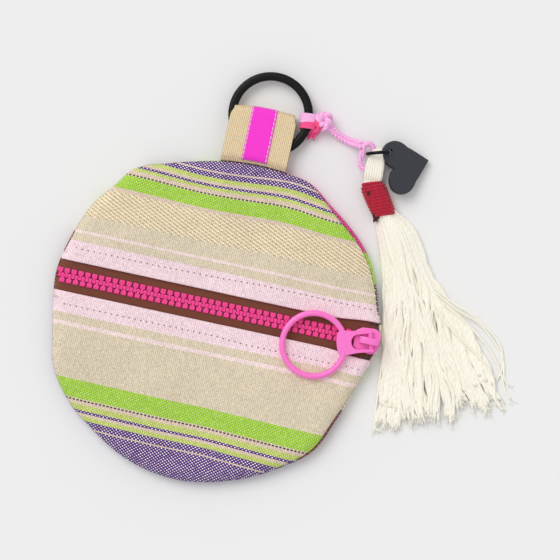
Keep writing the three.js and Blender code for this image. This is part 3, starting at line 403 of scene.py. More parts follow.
def lay_of(tree, along=1.0, up=1.0):
    """The cloth's own two lengths in millimetres, from the piece's map, divided by a spacing each."""
    uv = add(tree, "ShaderNodeUVMap", uv_map="lay").outputs["UV"]
    parts = add(tree, "ShaderNodeSeparateXYZ", [(0, uv)])
    return maths(tree, "DIVIDE", parts.outputs["X"], along), maths(tree, "DIVIDE", parts.outputs["Y"], up)


def wave(tree, turns):
    """Sine of a number of whole turns, from -1 to 1."""
    return maths(tree, "SINE", maths(tree, "MULTIPLY", turns, 2 * np.pi))


def near_line(tree, value, middle, half):
    """1 within a half width of a middle and 0 beyond it, with a short ramp between."""
    away = maths(tree, "ABSOLUTE", maths(tree, "SUBTRACT", value, middle))
    ramp = add(tree, "ShaderNodeMapRange",
               [("Value", away), ("From Min", half), ("From Max", half * 1.15),
                                            ("To Min", 1.0), ("To Max", 0.0)])
    return ramp.outputs["Result"]


def blend(tree, factor, first, second):
    """Second colour laid over the first by a factor."""
    node = add(tree, "ShaderNodeMix", data_type="RGBA", blend_type="MIX")
    for key, value in ((0, factor), (6, first), (7, second)):
        if isinstance(value, bpy.types.NodeSocket):
            tree.links.new(value, node.inputs[key])
        else:
            node.inputs[key].default_value = value
    return node.outputs[2]


def finish(name, roughness=0.9):
    """New material and its tree, with the one shader that everything leads to."""
    material = bpy.data.materials.new(name)
    material.use_nodes = True
    shader = material.node_tree.nodes["Principled BSDF"]
    shader.inputs["Roughness"].default_value = roughness
    return material, material.node_tree, shader


def raise_by(tree, shader, height, distance, strength=1.0):
    """Bump of a real height in millimetres."""
    bump = add(tree, "ShaderNodeBump",
               [("Height", height), ("Distance", distance * MM), ("Strength", strength)])
    tree.links.new(bump.outputs["Normal"], shader.inputs["Normal"])


def cell(tree, column, row):
    """The same random number from 0 to 1 all over a cell of the weave."""
    place = add(tree, "ShaderNodeCombineXYZ", [("X", column), ("Y", row)]).outputs[0]
    return add(tree, "ShaderNodeTexWhiteNoise", [("Vector", place)],
               noise_dimensions="2D").outputs["Value"]


WARP_PITCH, WEFT_PITCH = 0.77, 0.617


def dot_in(tree, value, other):
    """Round spot in the middle of a cell: 1 inside, falling to 0 towards the cell's sides."""
    parts = [maths(tree, "POWER", maths(tree, "SUBTRACT", maths(tree, "FRACT", part), 0.5), 2.0)
             for part in (value, other)]
    return add(tree, "ShaderNodeMapRange", [("Value", maths(tree, "ADD", *parts)), ("From Min", 0.05),
                                            ("From Max", 0.22), ("To Min", 1.0),
                                            ("To Max", 0.0)]).outputs["Result"]


def weave_colour(tree, u, v, ramp):
    """Plain weave: in every second cell the pale warp lies on top, as strongly as the stripe lets it."""
    end, pick = maths(tree, "DIVIDE", u, WARP_PITCH), maths(tree, "DIVIDE", v, WEFT_PITCH)
    column, row = maths(tree, "FLOOR", end), maths(tree, "FLOOR", pick)
    parity = maths(tree, "FLOORED_MODULO", maths(tree, "ADD", column, row), 2.0)
    spot = maths(tree, "MULTIPLY", parity, dot_in(tree, end, pick))
    uneven = maths(tree, "ADD", maths(tree, "MULTIPLY", cell(tree, column, row), 0.8), 0.6)
    shows = maths(tree, "MULTIPLY", maths(tree, "MULTIPLY", spot, uneven), ramp.outputs["Alpha"],
                  clamp=True)
    # gap is painted shade: each warp thread is lighter along its middle and darker at its sides.
    gap = maths(tree, "POWER", maths(tree, "ABSOLUTE", wave(tree, maths(tree, "MULTIPLY", end, 0.5))),
                0.6)
    fine, tall = maths(tree, "DIVIDE", u, 0.4), maths(tree, "DIVIDE", v, 0.7)
    fleck = maths(tree, "ADD", cell(tree, maths(tree, "FLOOR", fine), maths(tree, "FLOOR", tall)),
                  cell(tree, maths(tree, "FLOOR", tall), maths(tree, "FLOOR", fine)))
    shade = maths(tree, "ADD", maths(tree, "MULTIPLY", gap, 0.26), maths(tree, "MULTIPLY", fleck, 0.19))
    colour = blend(tree, shows, ramp.outputs["Color"], linear(WARP))
    return colour, maths(tree, "SUBTRACT", shade, 0.345), parity


def dobby_dashes(tree, u, v, colour):
    """Slanted dashes in staggered rows, dark ones and pale ones in turn, which read as small lozenges."""
    across, up = maths(tree, "DIVIDE", u, 1.495), maths(tree, "DIVIDE", v, 0.735)
    parity = maths(tree, "FLOORED_MODULO",
                   maths(tree, "ADD", maths(tree, "FLOOR", across), maths(tree, "FLOOR", up)), 2.0)
    place = maths(tree, "SUBTRACT", maths(tree, "FRACT", across), 0.5)
    level = maths(tree, "SUBTRACT", maths(tree, "FRACT", up), 0.5)
    slant = maths(tree, "ABSOLUTE", maths(tree, "ADD", level, maths(tree, "MULTIPLY", place, 0.8)))
    inside = near_line(tree, v, 36.3, 5.7)
    for dark, half, tint, strength in ((True, 0.2, "#85562b", 0.68), (False, 0.22, "#fff8e6", 0.62)):
        dash = maths(tree, "MULTIPLY", maths(tree, "LESS_THAN", slant, half),
                     maths(tree, "LESS_THAN", maths(tree, "ABSOLUTE", place), 0.42))
        chosen = maths(tree, "SUBTRACT", 1.0, parity) if dark else parity
        factor = maths(tree, "MULTIPLY", maths(tree, "MULTIPLY", dash, inside),
                       maths(tree, "MULTIPLY", chosen, strength))
        colour = blend(tree, factor, colour, linear(tint))
    return colour


def canvas(name, stripes, dots=None, dobby=False):
    material, tree, shader = finish(name, 0.92)
    u, v = lay_of(tree)
    low, high = stripes[0][0], 70.0
    share = add(tree, "ShaderNodeMapRange",
                [("Value", v), ("From Min", low), ("From Max", high)]).outputs["Result"]
    ramp = add(tree, "ShaderNodeValToRGB", [(0, share)])
    ramp.color_ramp.interpolation = "CONSTANT"
    for k, (edge, colour, strength) in enumerate(stripes):
        place = (edge - low) / (high - low)
        stop = ramp.color_ramp.elements[0] if k == 0 else ramp.color_ramp.elements.new(place)
        stop.position = place
        stop.color = (*linear(colour)[:3], strength)
    ramp.color_ramp.elements.remove(ramp.color_ramp.elements[-1])
    colour, thread_shade_and_fleck, parity = weave_colour(tree, u, v, ramp)
    if dots:
        on = maths(tree, "LESS_THAN", maths(tree, "FRACT", maths(tree, "DIVIDE", u, 2 * WARP_PITCH)),
                   0.58)
        colour = blend(tree, maths(tree, "MULTIPLY", on, near_line(tree, v, dots, 0.27)), colour,
                       linear(DARK))
    if dobby:
        colour = dobby_dashes(tree, u, v, colour)
    position = add(tree, "ShaderNodeTexCoord").outputs["Object"]
    cloudy = add(tree, "ShaderNodeTexNoise", [("Vector", position), ("Scale", 60.0), ("Detail", 3.0)])
    shade = add(tree, "ShaderNodeMapRange",
                [("Value", cloudy.outputs["Fac"]), ("From Min", 0.3), ("From Max", 0.7),
                                             ("To Min", 0.96), ("To Max", 1.04)]).outputs["Result"]
    # Painted shade between the warp threads, with random flecks of tone, scales the stripe colour.
    shade = maths(tree, "ADD", shade, thread_shade_and_fleck)
    colour = add(tree, "ShaderNodeVectorMath", [(0, colour), ("Scale", shade)],
                 operation="SCALE").outputs[0]
    tree.links.new(colour, shader.inputs["Base Color"])
    shader.inputs["Sheen Weight"].default_value = 0.12
    shader.inputs["Specular IOR Level"].default_value = 0.2
    across = maths(tree, "ABSOLUTE", wave(tree, maths(tree, "DIVIDE", u, 2 * WARP_PITCH)))
    along = maths(tree, "ABSOLUTE", wave(tree, maths(tree, "DIVIDE", v, 2 * WEFT_PITCH)))
    height = blend(tree, parity, along, across)
    raise_by(tree, shader, height, 0.09)
    return material


cloths = {
    "front_cloth_upper": canvas("striped_canvas_upper", UPPER_STRIPES, 50.1, True),
    "front_cloth_lower": canvas("striped_canvas_lower", LOWER_STRIPES, -42.2),
    "back_cloth": canvas("striped_canvas_back", BACK_STRIPES),
}
for name, piece in panels.items():
    piece.data.materials.append(cloths[name])
print("canvas:", ", ".join(sorted(m.name for m in cloths.values())))

# %% [markdown]
# On the real pouch the stripes wave, because the cloth was eased round the seam. The map that the
# ramp reads is bent by a line drawn through the measured places of one dark thread, and the bend fades
# towards the zip. The back cloth's stripes run on a slant, so its map is sheared as well.

# %% Bend the stripes
THREAD_UPPER = np.array([(-60, 0.0), (-42, -0.1), (-28, -0.8), (-15, -1.5), (-7, -1.0), (2, -0.5),
                         (10, 0.1), (17.5, 0.7),
                         (26, 0.0), (34, -1.7), (41.5, -2.0), (60, -1.7)])
THREAD_LOWER = np.array([(-60, 0.0), (-32, -0.3), (-7, -0.6), (0, -0.2), (32, -1.4), (60, -2.2)])


def smooth_line(table, x):
    """Straight lines through the rows, smoothed by averaging over 9 mm either way."""
    offsets = np.linspace(-9, 9, 13)
    return np.mean([np.interp(x + o, table[:, 0], table[:, 1]) for o in offsets], axis=0)


for name, table, full in (("front_cloth_upper", THREAD_UPPER, 50.1),
                          ("front_cloth_lower", THREAD_LOWER, -42.2),
                          ("back_cloth", None, 0)):
    layer = panels[name].data.uv_layers["lay"]
    lay = np.zeros(len(layer.data) * 2, np.float32)
    layer.data.foreach_get("uv", lay)
    lay = lay.reshape(-1, 2)
    if table is None:  # the back was cut with its stripes at a slant
        lay[:, 1] += 0.4 * (lay[:, 0] - 55)
    else:
        edge = ZIP_Y + np.sign(full) * TAPE_SHOW
        depth = np.clip((lay[:, 1] - edge) / (full - edge), 0, 1.4)
        lay[:, 1] -= smooth_line(table, lay[:, 0]) * depth**2
    layer.data.foreach_set("uv", lay.ravel())
    print(name, "map moved")

for name, node in (("front_cloth_upper", "front_panel_upper"), ("front_cloth_lower", "front_panel_lower"),
                   ("back_cloth", "back_panel")):
    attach(panels[name], "pouch")
    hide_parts(node)

# %% [markdown]
# Thread and yarn pieces are tubes: a path, and at each of its stations a ring of points square to it.
# Many paths go into one mesh at once, because a strand that is repeated needs only a few sides.

# %% Tubes
def unit(v):
    return v / np.maximum(np.linalg.norm(v, axis=-1, keepdims=True), 1e-9)


def tubes(paths, radius, sides=8, across=(0, 0, 1), flat=1.0, closed=False):
    """Rings round paths (k, n, 3). Across is never along the path; flat scales the ring along it."""
    paths = np.asarray(paths, float)
    k, n = paths.shape[:2]
    if closed:
        step = np.roll(paths, -1, 1) - np.roll(paths, 1, 1)
    else:
        step = np.gradient(paths, axis=1)
    ahead = unit(step)
    side = unit(np.cross(ahead, np.broadcast_to(np.asarray(across, float), ahead.shape)))
    up = np.cross(side, ahead)
    a = 2 * np.pi * np.arange(sides) / sides
    r = np.broadcast_to(np.asarray(radius, float), (k, n))[..., None, None]
    ring = r * (np.cos(a)[:, None] * side[:, :, None] + flat * np.sin(a)[:, None] * up[:, :, None])
    points = (paths[:, :, None] + ring).reshape(-1, 3)
    one = grid_faces(n, sides, wrap_rows=closed, wrap_columns=True)
    quads = (np.arange(k)[:, None, None] * n * sides + one[None]).reshape(-1, 4)
    length = np.concatenate([np.zeros((k, 1)),
                             np.cumsum(np.linalg.norm(np.diff(paths, axis=1), axis=-1), 1)], 1)
    i, j = quads % (n * sides) // sides, quads % sides
    strand = quads // (n * sides)
    i_along = length[strand, i]
    if closed:
        i_along = np.where((i == 0) & (i[:, :1] == n - 1), length[strand, n - 1] + length[strand, 1],
                           i_along)
    i_along = i_along + (strand * 1.618 % 1.0) * 7.0
    turn = np.where((j == 0) & (j.max(1, keepdims=True) == sides - 1), sides, j) / sides
    corner_uv = [np.stack([turn, i_along], -1).reshape(-1, 2)]
    blocks = [quads]
    if not closed:
        ends = np.arange(k)[:, None] * n * sides + np.arange(sides)[None]
        blocks += [ends, ends[:, ::-1] + (n - 1) * sides]
        corner_uv += [np.zeros((ends.size, 2)), np.zeros((ends.size, 2))]
    return points, blocks, np.concatenate(corner_uv)


def strands(name, paths, radius, **settings):
    points, blocks, corner_uv = tubes(paths, radius, **settings)
    return put(name, points, *blocks, corner_uv=corner_uv)


def curve_through(rows, n, closed=False):
    """Points along a smooth curve through rows, by the same cubic as the outline's, at even steps."""
    rows = np.asarray(rows, float)
    padded = np.concatenate([rows[-1:], rows, rows[:2]]) if closed else np.concatenate(
        [2 * rows[:1] - rows[1:2], rows, 2 * rows[-1:] - rows[-2:-1]])
    spans = len(rows) if closed else len(rows) - 1
    t = np.linspace(0, spans, 40 * spans + 1)
    k = np.minimum(t.astype(int), spans - 1)
    f = (t - k)[:, None]
    p, q, r, s = (padded[k + o] for o in range(4))
    curve = 0.5 * (2 * q + (r - p) * f + (2 * p - 5 * q + 4 * r - s) * f**2
                   + (3 * q - p - 3 * r + s) * f**3)
    length = np.concatenate([[0], np.cumsum(np.linalg.norm(np.diff(curve, axis=0), axis=1))])
    at = np.linspace(0, length[-1], n, endpoint=not closed)
    return np.stack([np.interp(at, length, curve[:, c]) for c in range(rows.shape[1])], -1)


print("tube maker ready")

# %% [markdown]
# The zip is a size 5 moulded one. Its two tapes are woven polyester, brown, with a rib along the
# teeth. Each shows as a narrow band beside the teeth and goes on under the folded edge.

# %% Zip tapes
TAPE_TOP = ZIP_LEVEL - 1.2 - GAP


def tape(side, stations=150):
    """Strip from beside the teeth to under the fold. At its far end it rolls down with the rim."""
    across = side * np.concatenate([np.linspace(1.2, 6.0, 13), np.linspace(6.6, 8.9, 4)])
    far = np.array([rim_point(rim_angle(ZIP_Y + y, False))[0] for y in across])
    near = np.array([rim_point(rim_angle(ZIP_Y + y, True))[0] for y in across])
    near = np.where(np.abs(across) > 6.1, near - RIM_ROLL * 0.8, near - 2.2)
    a = np.concatenate([np.linspace(0.15, np.pi / 2, 12), np.full(stations - 12, np.pi / 2)])[:, None]
    run = np.concatenate([np.zeros(12), np.linspace(0, 1, stations - 11)[1:]])[:, None]
    x = far + RIM_ROLL - (RIM_ROLL - 0.25) * np.cos(a)
    x = x + run * (near - x)
    z = RIM_HEIGHT + (TAPE_TOP - 0.05 - RIM_HEIGHT) * np.sin(a) + 0 * across
    z = z + 0.2 * np.exp(-((np.abs(across) - 3.5) / 0.3) ** 2)
    return np.stack([x, ZIP_Y + across + 0 * a, z], -1)


def ribbed_tape():
    material, tree, shader = finish("woven_zip_tape", 0.8)
    u, v = lay_of(tree, 0.8, 0.55)
    twill = wave(tree, maths(tree, "ADD", u, v))
    # The twill's ribs are painted lighter and the hollows between them darker, in step with the bump:
    # painted highlight and painted shade.
    tone = add(tree, "ShaderNodeMapRange",
               [("Value", twill), ("From Min", -1.0), ("To Min", 0.78), ("To Max", 1.12)])
    colour = add(tree, "ShaderNodeVectorMath",
                 [(0, linear("#80442f")[:3]), ("Scale", tone.outputs["Result"])],
                 operation="SCALE").outputs[0]
    tree.links.new(colour, shader.inputs["Base Color"])
    shader.inputs["Sheen Weight"].default_value = 0.1
    raise_by(tree, shader, twill, 0.08)
    return material


tape_finish = ribbed_tape()
for name, node, side in (("tape_upper", "zip_tape_upper", 1), ("tape_lower", "zip_tape_lower", -1)):
    points = tape(side)
    strip = put(name, points.reshape(-1, 3), grid_faces(*points.shape[:2])[:, ::side],
                uv=points[..., :2].reshape(-1, 2))
    thicken(strip, 0.6)
    strip.data.materials.append(tape_finish)
    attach(strip, "pouch")
    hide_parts(node)
print("two tapes,", len(strip.data.polygons), "faces each")

# %% [markdown]
# Each tooth is moulded acetal round the tape's edge: a broad block outside, a neck and a knob that
# locks between two teeth of the other row. One outline, drawn in a little at the top and bottom faces,
# makes a tooth with broken edges, and a row is that tooth moved along the zip.

# %% Zip teeth
TOOTH_PITCH, TOOTH_HALF_HEIGHT, TEETH, FIRST_TOOTH = 2.8, 1.2, 46, -66.4
TOOTH_OUTLINE = np.array([
    (-0.95, 3.0), (-1.12, 2.7), (-1.14, 1.5), (-0.98, 1.16), (-0.56, 1.0), (-0.5, 0.6), (-0.62, 0.05),
    (-0.84, -0.4), (-0.66, -0.86), (-0.3, -0.98), (0.3, -0.98), (0.66, -0.86), (0.84, -0.4),
    (0.62, 0.05), (0.5, 0.6), (0.56, 1.0), (0.98, 1.16), (1.14, 1.5), (1.12, 2.7), (0.95, 3.0),
])


def drop_with_rim(x, level):
    """How far the zip comes down at its far end, on the rim's quarter round."""
    inset = np.minimum(RIM_ROLL, x - rim_point(rim_angle(ZIP_Y, False))[0])
    s = np.clip((RIM_ROLL - inset) / (RIM_ROLL - 0.6), 0, 1)
    return (level - RIM_HEIGHT) * (1 - np.sqrt(np.maximum(0, 1 - s**2)))


def teeth_row(side):
    """Outline at six levels, each drawn in by a share, for every tooth at once."""
    level = np.array([-1, -0.85, 0.5, 0.8, 0.95, 1.0]) * TOOTH_HALF_HEIGHT
    draw = np.array([0.86, 1, 1, 0.98, 0.92, 0.78])
    centre = np.array([0.0, 1.1])
    ring = centre + (TOOTH_OUTLINE - centre)[None] * draw[:, None, None]
    x0 = FIRST_TOOTH + TOOTH_PITCH * (np.arange(TEETH) + 0.5 if side > 0 else np.arange(1, TEETH))
    x = x0[:, None, None] + ring[None, ..., 0]
    y = ZIP_Y + side * (ring[None, ..., 1] + 0 * x)
    bulge = 0.15 * np.exp(-((ring[..., 1] - 2.0) / 0.6) ** 2) * (level > 0.9)[:, None]
    z = TAPE_TOP - 0.4 + level[:, None] + bulge + 0 * x - drop_with_rim(x0, TAPE_TOP - 0.4)[:, None, None]
    points = np.stack([x, y, z], -1)
    levels, corners = ring.shape[:2]
    one = grid_faces(levels, corners, wrap_columns=True)
    offset = np.arange(len(x0))[:, None] * levels * corners
    cap = np.arange(corners)[None]
    blocks = [(offset[..., None] + one[None]).reshape(-1, 4), offset + cap[:, ::-1],
              offset + cap + (levels - 1) * corners]
    return points.reshape(-1, 3), [b if side < 0 else b[:, ::-1] for b in blocks]


def moulded(name, colour, roughness=0.38):
    """Moulded plastic: even colour, a soft gloss and the slightest orange peel."""
    material, tree, shader = finish(name, roughness)
    shader.inputs["Base Color"].default_value = linear(colour)
    shader.inputs["IOR"].default_value = 1.48
    shader.inputs["Subsurface Weight"].default_value = 0.08
    shader.inputs["Subsurface Scale"].default_value = 0.001
    position = add(tree, "ShaderNodeTexCoord").outputs["Object"]
    peel = add(tree, "ShaderNodeTexNoise", [("Vector", position), ("Scale", 700.0)])
    raise_by(tree, shader, peel.outputs["Fac"], 0.02)
    return material


acetal = moulded("moulded_acetal_teeth", "#f03a8e")
for name, node, side in (("teeth_upper", "zip_teeth_upper", 1), ("teeth_lower", "zip_teeth_lower", -1)):
    points, blocks = teeth_row(side)
    row = put(name, points, *blocks, smooth=False)
    row.data.materials.append(acetal)
    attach(row, "pouch")
    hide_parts(node)
print(TEETH, "teeth a row,", len(row.data.polygons), "faces")

# %% [markdown]
# The slider is moulded in the same pink as its pull. Its CAD solid already has the right shape, so a
# copy of it only gets its edges rounded, as a mould leaves them.

# %% Slider
def softened(name, node, width, segments=3, limit=28):
    """Copy of a CAD node with loose points joined, flat areas made whole and edges rounded."""
    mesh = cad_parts[node].data.copy()
    mesh.materials.clear()
    piece = bpy.data.objects.new(name, mesh)
    scene.collection.objects.link(piece)
    work = bmesh.new()
    work.from_mesh(mesh)
    bmesh.ops.remove_doubles(work, verts=work.verts, dist=0.005 * MM)
    bmesh.ops.dissolve_limit(work, angle_limit=np.radians(2), verts=work.verts, edges=work.edges)
    work.to_mesh(mesh)
    work.free()
    edge = piece.modifiers.new("edge", "BEVEL")
    edge.width, edge.segments, edge.limit_method = width * MM, segments, "ANGLE"
    edge.angle_limit, edge.use_clamp_overlap = np.radians(limit), True
    with bpy.context.temp_override(object=piece, active_object=piece):
        bpy.ops.object.modifier_apply(modifier="edge")
    piece.data.polygons.foreach_set("use_smooth", np.ones(len(piece.data.polygons), bool))
    return piece


def plate_from(name, outlines, thickness, edge):
    """Flat curve with holes, given a thickness and rounded edges, as a mesh about its own origin."""
    data = bpy.data.curves.new(name, "CURVE")
    data.dimensions, data.fill_mode = "2D", "BOTH"
    data.extrude, data.bevel_depth, data.bevel_resolution = (thickness / 2 - edge) * MM, edge * MM, 3
    data.offset = -edge * MM
    for outline in outlines:
        spline = data.splines.new("POLY")
        spline.points.add(len(outline) - 1)
        flat = np.concatenate([outline * MM, np.zeros((len(outline), 1)), np.ones((len(outline), 1))], 1)
        spline.points.foreach_set("co", flat.ravel())
        spline.use_cyclic_u = True
    holder = bpy.data.objects.new(name + "_line", data)
    scene.collection.objects.link(holder)
    bpy.context.view_layer.update()
    mesh = bpy.data.meshes.new_from_object(holder.evaluated_get(bpy.context.evaluated_depsgraph_get()))
    bpy.data.objects.remove(holder)
    piece = bpy.data.objects.new(name, mesh)
    scene.collection.objects.link(piece)
    merge(piece, 0.01)
    return piece


def reshape_points(piece, place):
    """Puts a piece's points, taken in millimetres, where a function says."""
    local = np.zeros(len(piece.data.vertices) * 3)
    piece.data.vertices.foreach_get("co", local)
    local = place(local.reshape(-1, 3) / MM)
    piece.data.vertices.foreach_set("co", (local * MM).ravel())
    piece.data.update()
    return local


pull_plastic = moulded("moulded_pull", "#ff7acf", 0.3)
slider = softened("slider_body", "slider", 0.28)
slider.data.materials.append(pull_plastic)
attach(slider, "pouch")
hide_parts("slider")
print("slider", len(slider.data.polygons), "faces")

# %% [markdown]
# The pull is a round ring moulded in one with a broad tab, whose slot leaves a bar that turns under the
# slider's bridge. The tab is a filled outline with rounded edges. All of it rides on its own body, so
# that the hinge can lift it.

# %% Ring pull
PIVOT = np.array([62.04, 5.2, 10.9])
PULL_TURN = np.radians(180 + 15.5)


def from_pull(local):
    """Local points, x from the bar towards the ring, into the row's frame."""
    c, s = np.cos(PULL_TURN), np.sin(PULL_TURN)
    x, y, z = np.moveaxis(np.asarray(local, float), -1, 0)
    return PIVOT + np.stack([x * c - y * s, x * s + y * c, z], -1)


a = 2 * np.pi * np.arange(128) / 128
ring_path = np.stack([22.8 + (13.75 - 1.2) * np.cos(a), (13.75 - 1.2) * np.sin(a), 0 * a], -1)
ring_points, ring_blocks, _ = tubes(from_pull(ring_path)[None], 1.2, sides=18, closed=True)


pull = put("pull_ring", ring_points, ring_blocks[0])
a = np.linspace(np.pi / 2, -np.pi / 2, 13)
slot = np.stack([5.0 + 2.75 * np.cos(a), 2.95 * np.sin(a)], -1)
half = np.array([(-0.9, 3.1), (-0.9, 4.2), (2.0, 4.25), (6.0, 4.4), (9.2, 4.85), (11.6, 4.95),
                 (12.9, 4.3), (13.5, 2.4)])
tab_line = np.concatenate([half, [[13.7, 0.0]], half[::-1] * np.array([1, -1]), slot[::-1]])
pull_tab = plate_from("pull_tab", [tab_line], 2.2, 0.32)
reshape_points(pull_tab, from_pull)
bar_line = np.stack([np.zeros(9), np.linspace(-3.3, 3.3, 9), np.zeros(9)], -1)
pull_bar = strands("pull_bar", from_pull(bar_line)[None], 0.9, sides=16)
for piece in (pull_tab, pull_bar):
    piece.data.materials.append(pull_plastic)
    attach(piece, "pull")
pull.data.materials.append(pull_plastic)
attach(pull, "pull")
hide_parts("ring_pull")
print("pull", len(pull.data.polygons), "faces")

# %% [markdown]
# The tab is a piece of cotton webbing, 25.6 mm wide, folded round the ring and sewn into the seam.
# It is a strip: its side view carried across its width. A magenta ribbon is sewn along its middle.

# %% Webbing tab and ribbon
TAB_X, TAB_HALF, TAB_REACH, WEBBING = 1.45, 13.3, 22.9, 1.3
TAB_LINE = [  # distance from the root and height, up the middle of the webbing's thickness
    (0.0, 3.2), (1.7, 2.1), (3.6, 1.5), (7.0, 1.25), (12.0, 0.95), (18.0, 0.75), (20.4, 0.95),
    (21.7, 1.8), (22.25, 3.7), (21.7, 5.6), (20.4, 6.35), (18.0, 6.5), (12.0, 6.6), (4.4, 6.5),
    (2.4, 6.2), (1.0, 5.2), (0.2, 4.6),
]


def on_tab(across, along, height):
    """Places a strip: its root follows the pouch's edge, and the fold's corners draw in."""
    pinch = smoothstep(along, TAB_REACH - 4.2, TAB_REACH - 1.2)
    draw = 1.1 * pinch * np.abs(across / TAB_HALF) ** 3
    x = TAB_X + across - np.sign(across) * draw
    root = rim_point(np.degrees(np.arctan2(RADIUS, x)))[..., 1] + GAP
    return np.stack([x, root + along, height], -1)


side_view = curve_through(TAB_LINE, 110)
across = np.linspace(-TAB_HALF, TAB_HALF, 40)
along, width = np.meshgrid(side_view[:, 0], across, indexing="ij")
height = np.broadcast_to(side_view[:, 1][:, None], along.shape)
tab_points = on_tab(width, along, height)
run = np.concatenate([[0], np.cumsum(np.linalg.norm(np.diff(side_view, axis=0), axis=1))])
tab_uv = np.stack([width, np.broadcast_to(run[:, None], width.shape)], -1)
tab = put("webbing_tab", tab_points.reshape(-1, 3), grid_faces(*along.shape), uv=tab_uv.reshape(-1, 2))
thicken(tab, WEBBING, 0.0)


def webbing():
    """Ribbed cotton webbing: warp ribs along its length, thin weft between them, no gloss, ribs painted
    lighter and gaps darker.
    """
    material, tree, shader = finish("ribbed_cotton_webbing", 0.92)
    rib, weft = lay_of(tree, 0.74, 0.95)
    ribs = maths(tree, "ABSOLUTE", wave(tree, maths(tree, "MULTIPLY", rib, 0.5)))
    stagger = maths(tree, "MULTIPLY", maths(tree, "FLOOR", rib), 0.5)
    beads = maths(tree, "ABSOLUTE",
                  wave(tree, maths(tree, "MULTIPLY", maths(tree, "ADD", weft, stagger), 0.5)))
    height = maths(tree, "MULTIPLY", ribs, maths(tree, "ADD", maths(tree, "MULTIPLY", beads, 0.6), 0.4))
    position = add(tree, "ShaderNodeTexCoord").outputs["Object"]
    lint = add(tree, "ShaderNodeTexNoise", [("Vector", position), ("Scale", 1100.0), ("Detail", 2.0)])
    # Painted highlight on the ribs' tops and painted shade in the gaps between them, with random lint
    # tone.
    tone = maths(tree, "ADD", maths(tree, "MULTIPLY", height, 0.62),
                 maths(tree, "ADD", 0.5, maths(tree, "MULTIPLY", lint.outputs["Fac"], 0.36)))
    colour = add(tree, "ShaderNodeVectorMath", [(0, linear("#e9d2aa")[:3]), ("Scale", tone)],
                 operation="SCALE")
    tree.links.new(colour.outputs[0], shader.inputs["Base Color"])
    shader.inputs["Specular IOR Level"].default_value = 0.2
    raise_by(tree, shader, height, 0.16)
    return material


tab.data.materials.append(webbing())
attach(tab, "pouch")
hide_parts("strap_tab")

RIBBON_HALF = 5.25
top_line = side_view[side_view[:, 1] > 2.2]
top_line = top_line[np.argmin(np.abs(top_line[:, 0] - 22.1)):]
back = unit(np.gradient(top_line, axis=0))
lifted = top_line + np.stack([back[:, 1], -back[:, 0]], -1) * (WEBBING / 2 + 0.32)
lifted = lifted[lifted[:, 0] > 1.0]
r_along, r_across = np.meshgrid(lifted[:, 0], np.linspace(-1, 1, 21), indexing="ij")
r_steps = np.linalg.norm(np.diff(lifted, axis=0), axis=1)
r_run = np.concatenate([[0], np.cumsum(r_steps)])[:, None] + 0 * r_across
scallop = 1 + 0.02 * np.sin(2 * np.pi * r_run / 1.9) * (np.abs(r_across) > 0.95)
r_height = np.broadcast_to(lifted[:, 1][:, None], r_along.shape) - 0.12 * np.abs(r_across) ** 8
r_points = on_tab(r_across * RIBBON_HALF * scallop, r_along, r_height)
ribbon = put("sewn_ribbon", r_points.reshape(-1, 3), grid_faces(*r_along.shape),
             uv=np.stack([r_across * RIBBON_HALF, r_run], -1).reshape(-1, 2))
thicken(ribbon, 0.4)


def ribbon_satin():
    """Woven ribbon in neon magenta: a faint cross rib and edges that are paler from 4.35 mm out."""
    material, tree, shader = finish("woven_neon_ribbon", 0.55)
    u, v = lay_of(tree, 1.0, 0.6)
    rim = add(tree, "ShaderNodeMapRange",
              [("Value", maths(tree, "ABSOLUTE", u)), ("From Min", 4.35), ("From Max", 5.1)])
    colour = blend(tree, maths(tree, "MULTIPLY", rim.outputs["Result"], 0.35), linear("#ff1fd6"),
                   linear("#ffb3e2"))
    tree.links.new(colour, shader.inputs["Base Color"])
    shader.inputs["Sheen Weight"].default_value = 0.3
    raise_by(tree, shader, wave(tree, v), 0.04)
    return material


ribbon.data.materials.append(ribbon_satin())
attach(ribbon, "pouch")
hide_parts("tab_ribbon")
print("tab and ribbon", len(tab.data.polygons) + len(ribbon.data.polygons), "faces")

# %% [markdown]
# The rings are coated steel, near black. The key ring is a flat band with rounded edges, the jump ring
# is round wire and stands on edge, because the heart and the tassel's loop hold it up.

# %% Key ring and jump ring
def coated(name, colour, roughness, metallic=0.35):
    """Coating on metal: dark, smooth, with a grain too fine to see one by one."""
    material, tree, shader = finish(name, roughness)
    shader.inputs["Base Color"].default_value = linear(colour)
    shader.inputs["Metallic"].default_value = metallic
    shader.inputs["Specular IOR Level"].default_value = 0.3
    position = add(tree, "ShaderNodeTexCoord").outputs["Object"]
    grain = add(tree, "ShaderNodeTexNoise", [("Vector", position), ("Scale", 2600.0), ("Detail", 1.0)])
    raise_by(tree, shader, grain.outputs["Fac"], 0.02)
    return material


def turned(middle, radius, half_wide, half_high, power, n=160, sides=20):
    """Squared oval section carried round an upright axis."""
    t = 2 * np.pi * np.arange(n)[:, None] / n
    q = 2 * np.pi * np.arange(sides)[None] / sides
    r = radius + half_wide * np.sign(np.cos(q)) * np.abs(np.cos(q)) ** power
    z = half_high * np.sign(np.sin(q)) * np.abs(np.sin(q)) ** power
    return np.stack([r * np.cos(t), r * np.sin(t), z + 0 * t], -1) + np.asarray(middle)


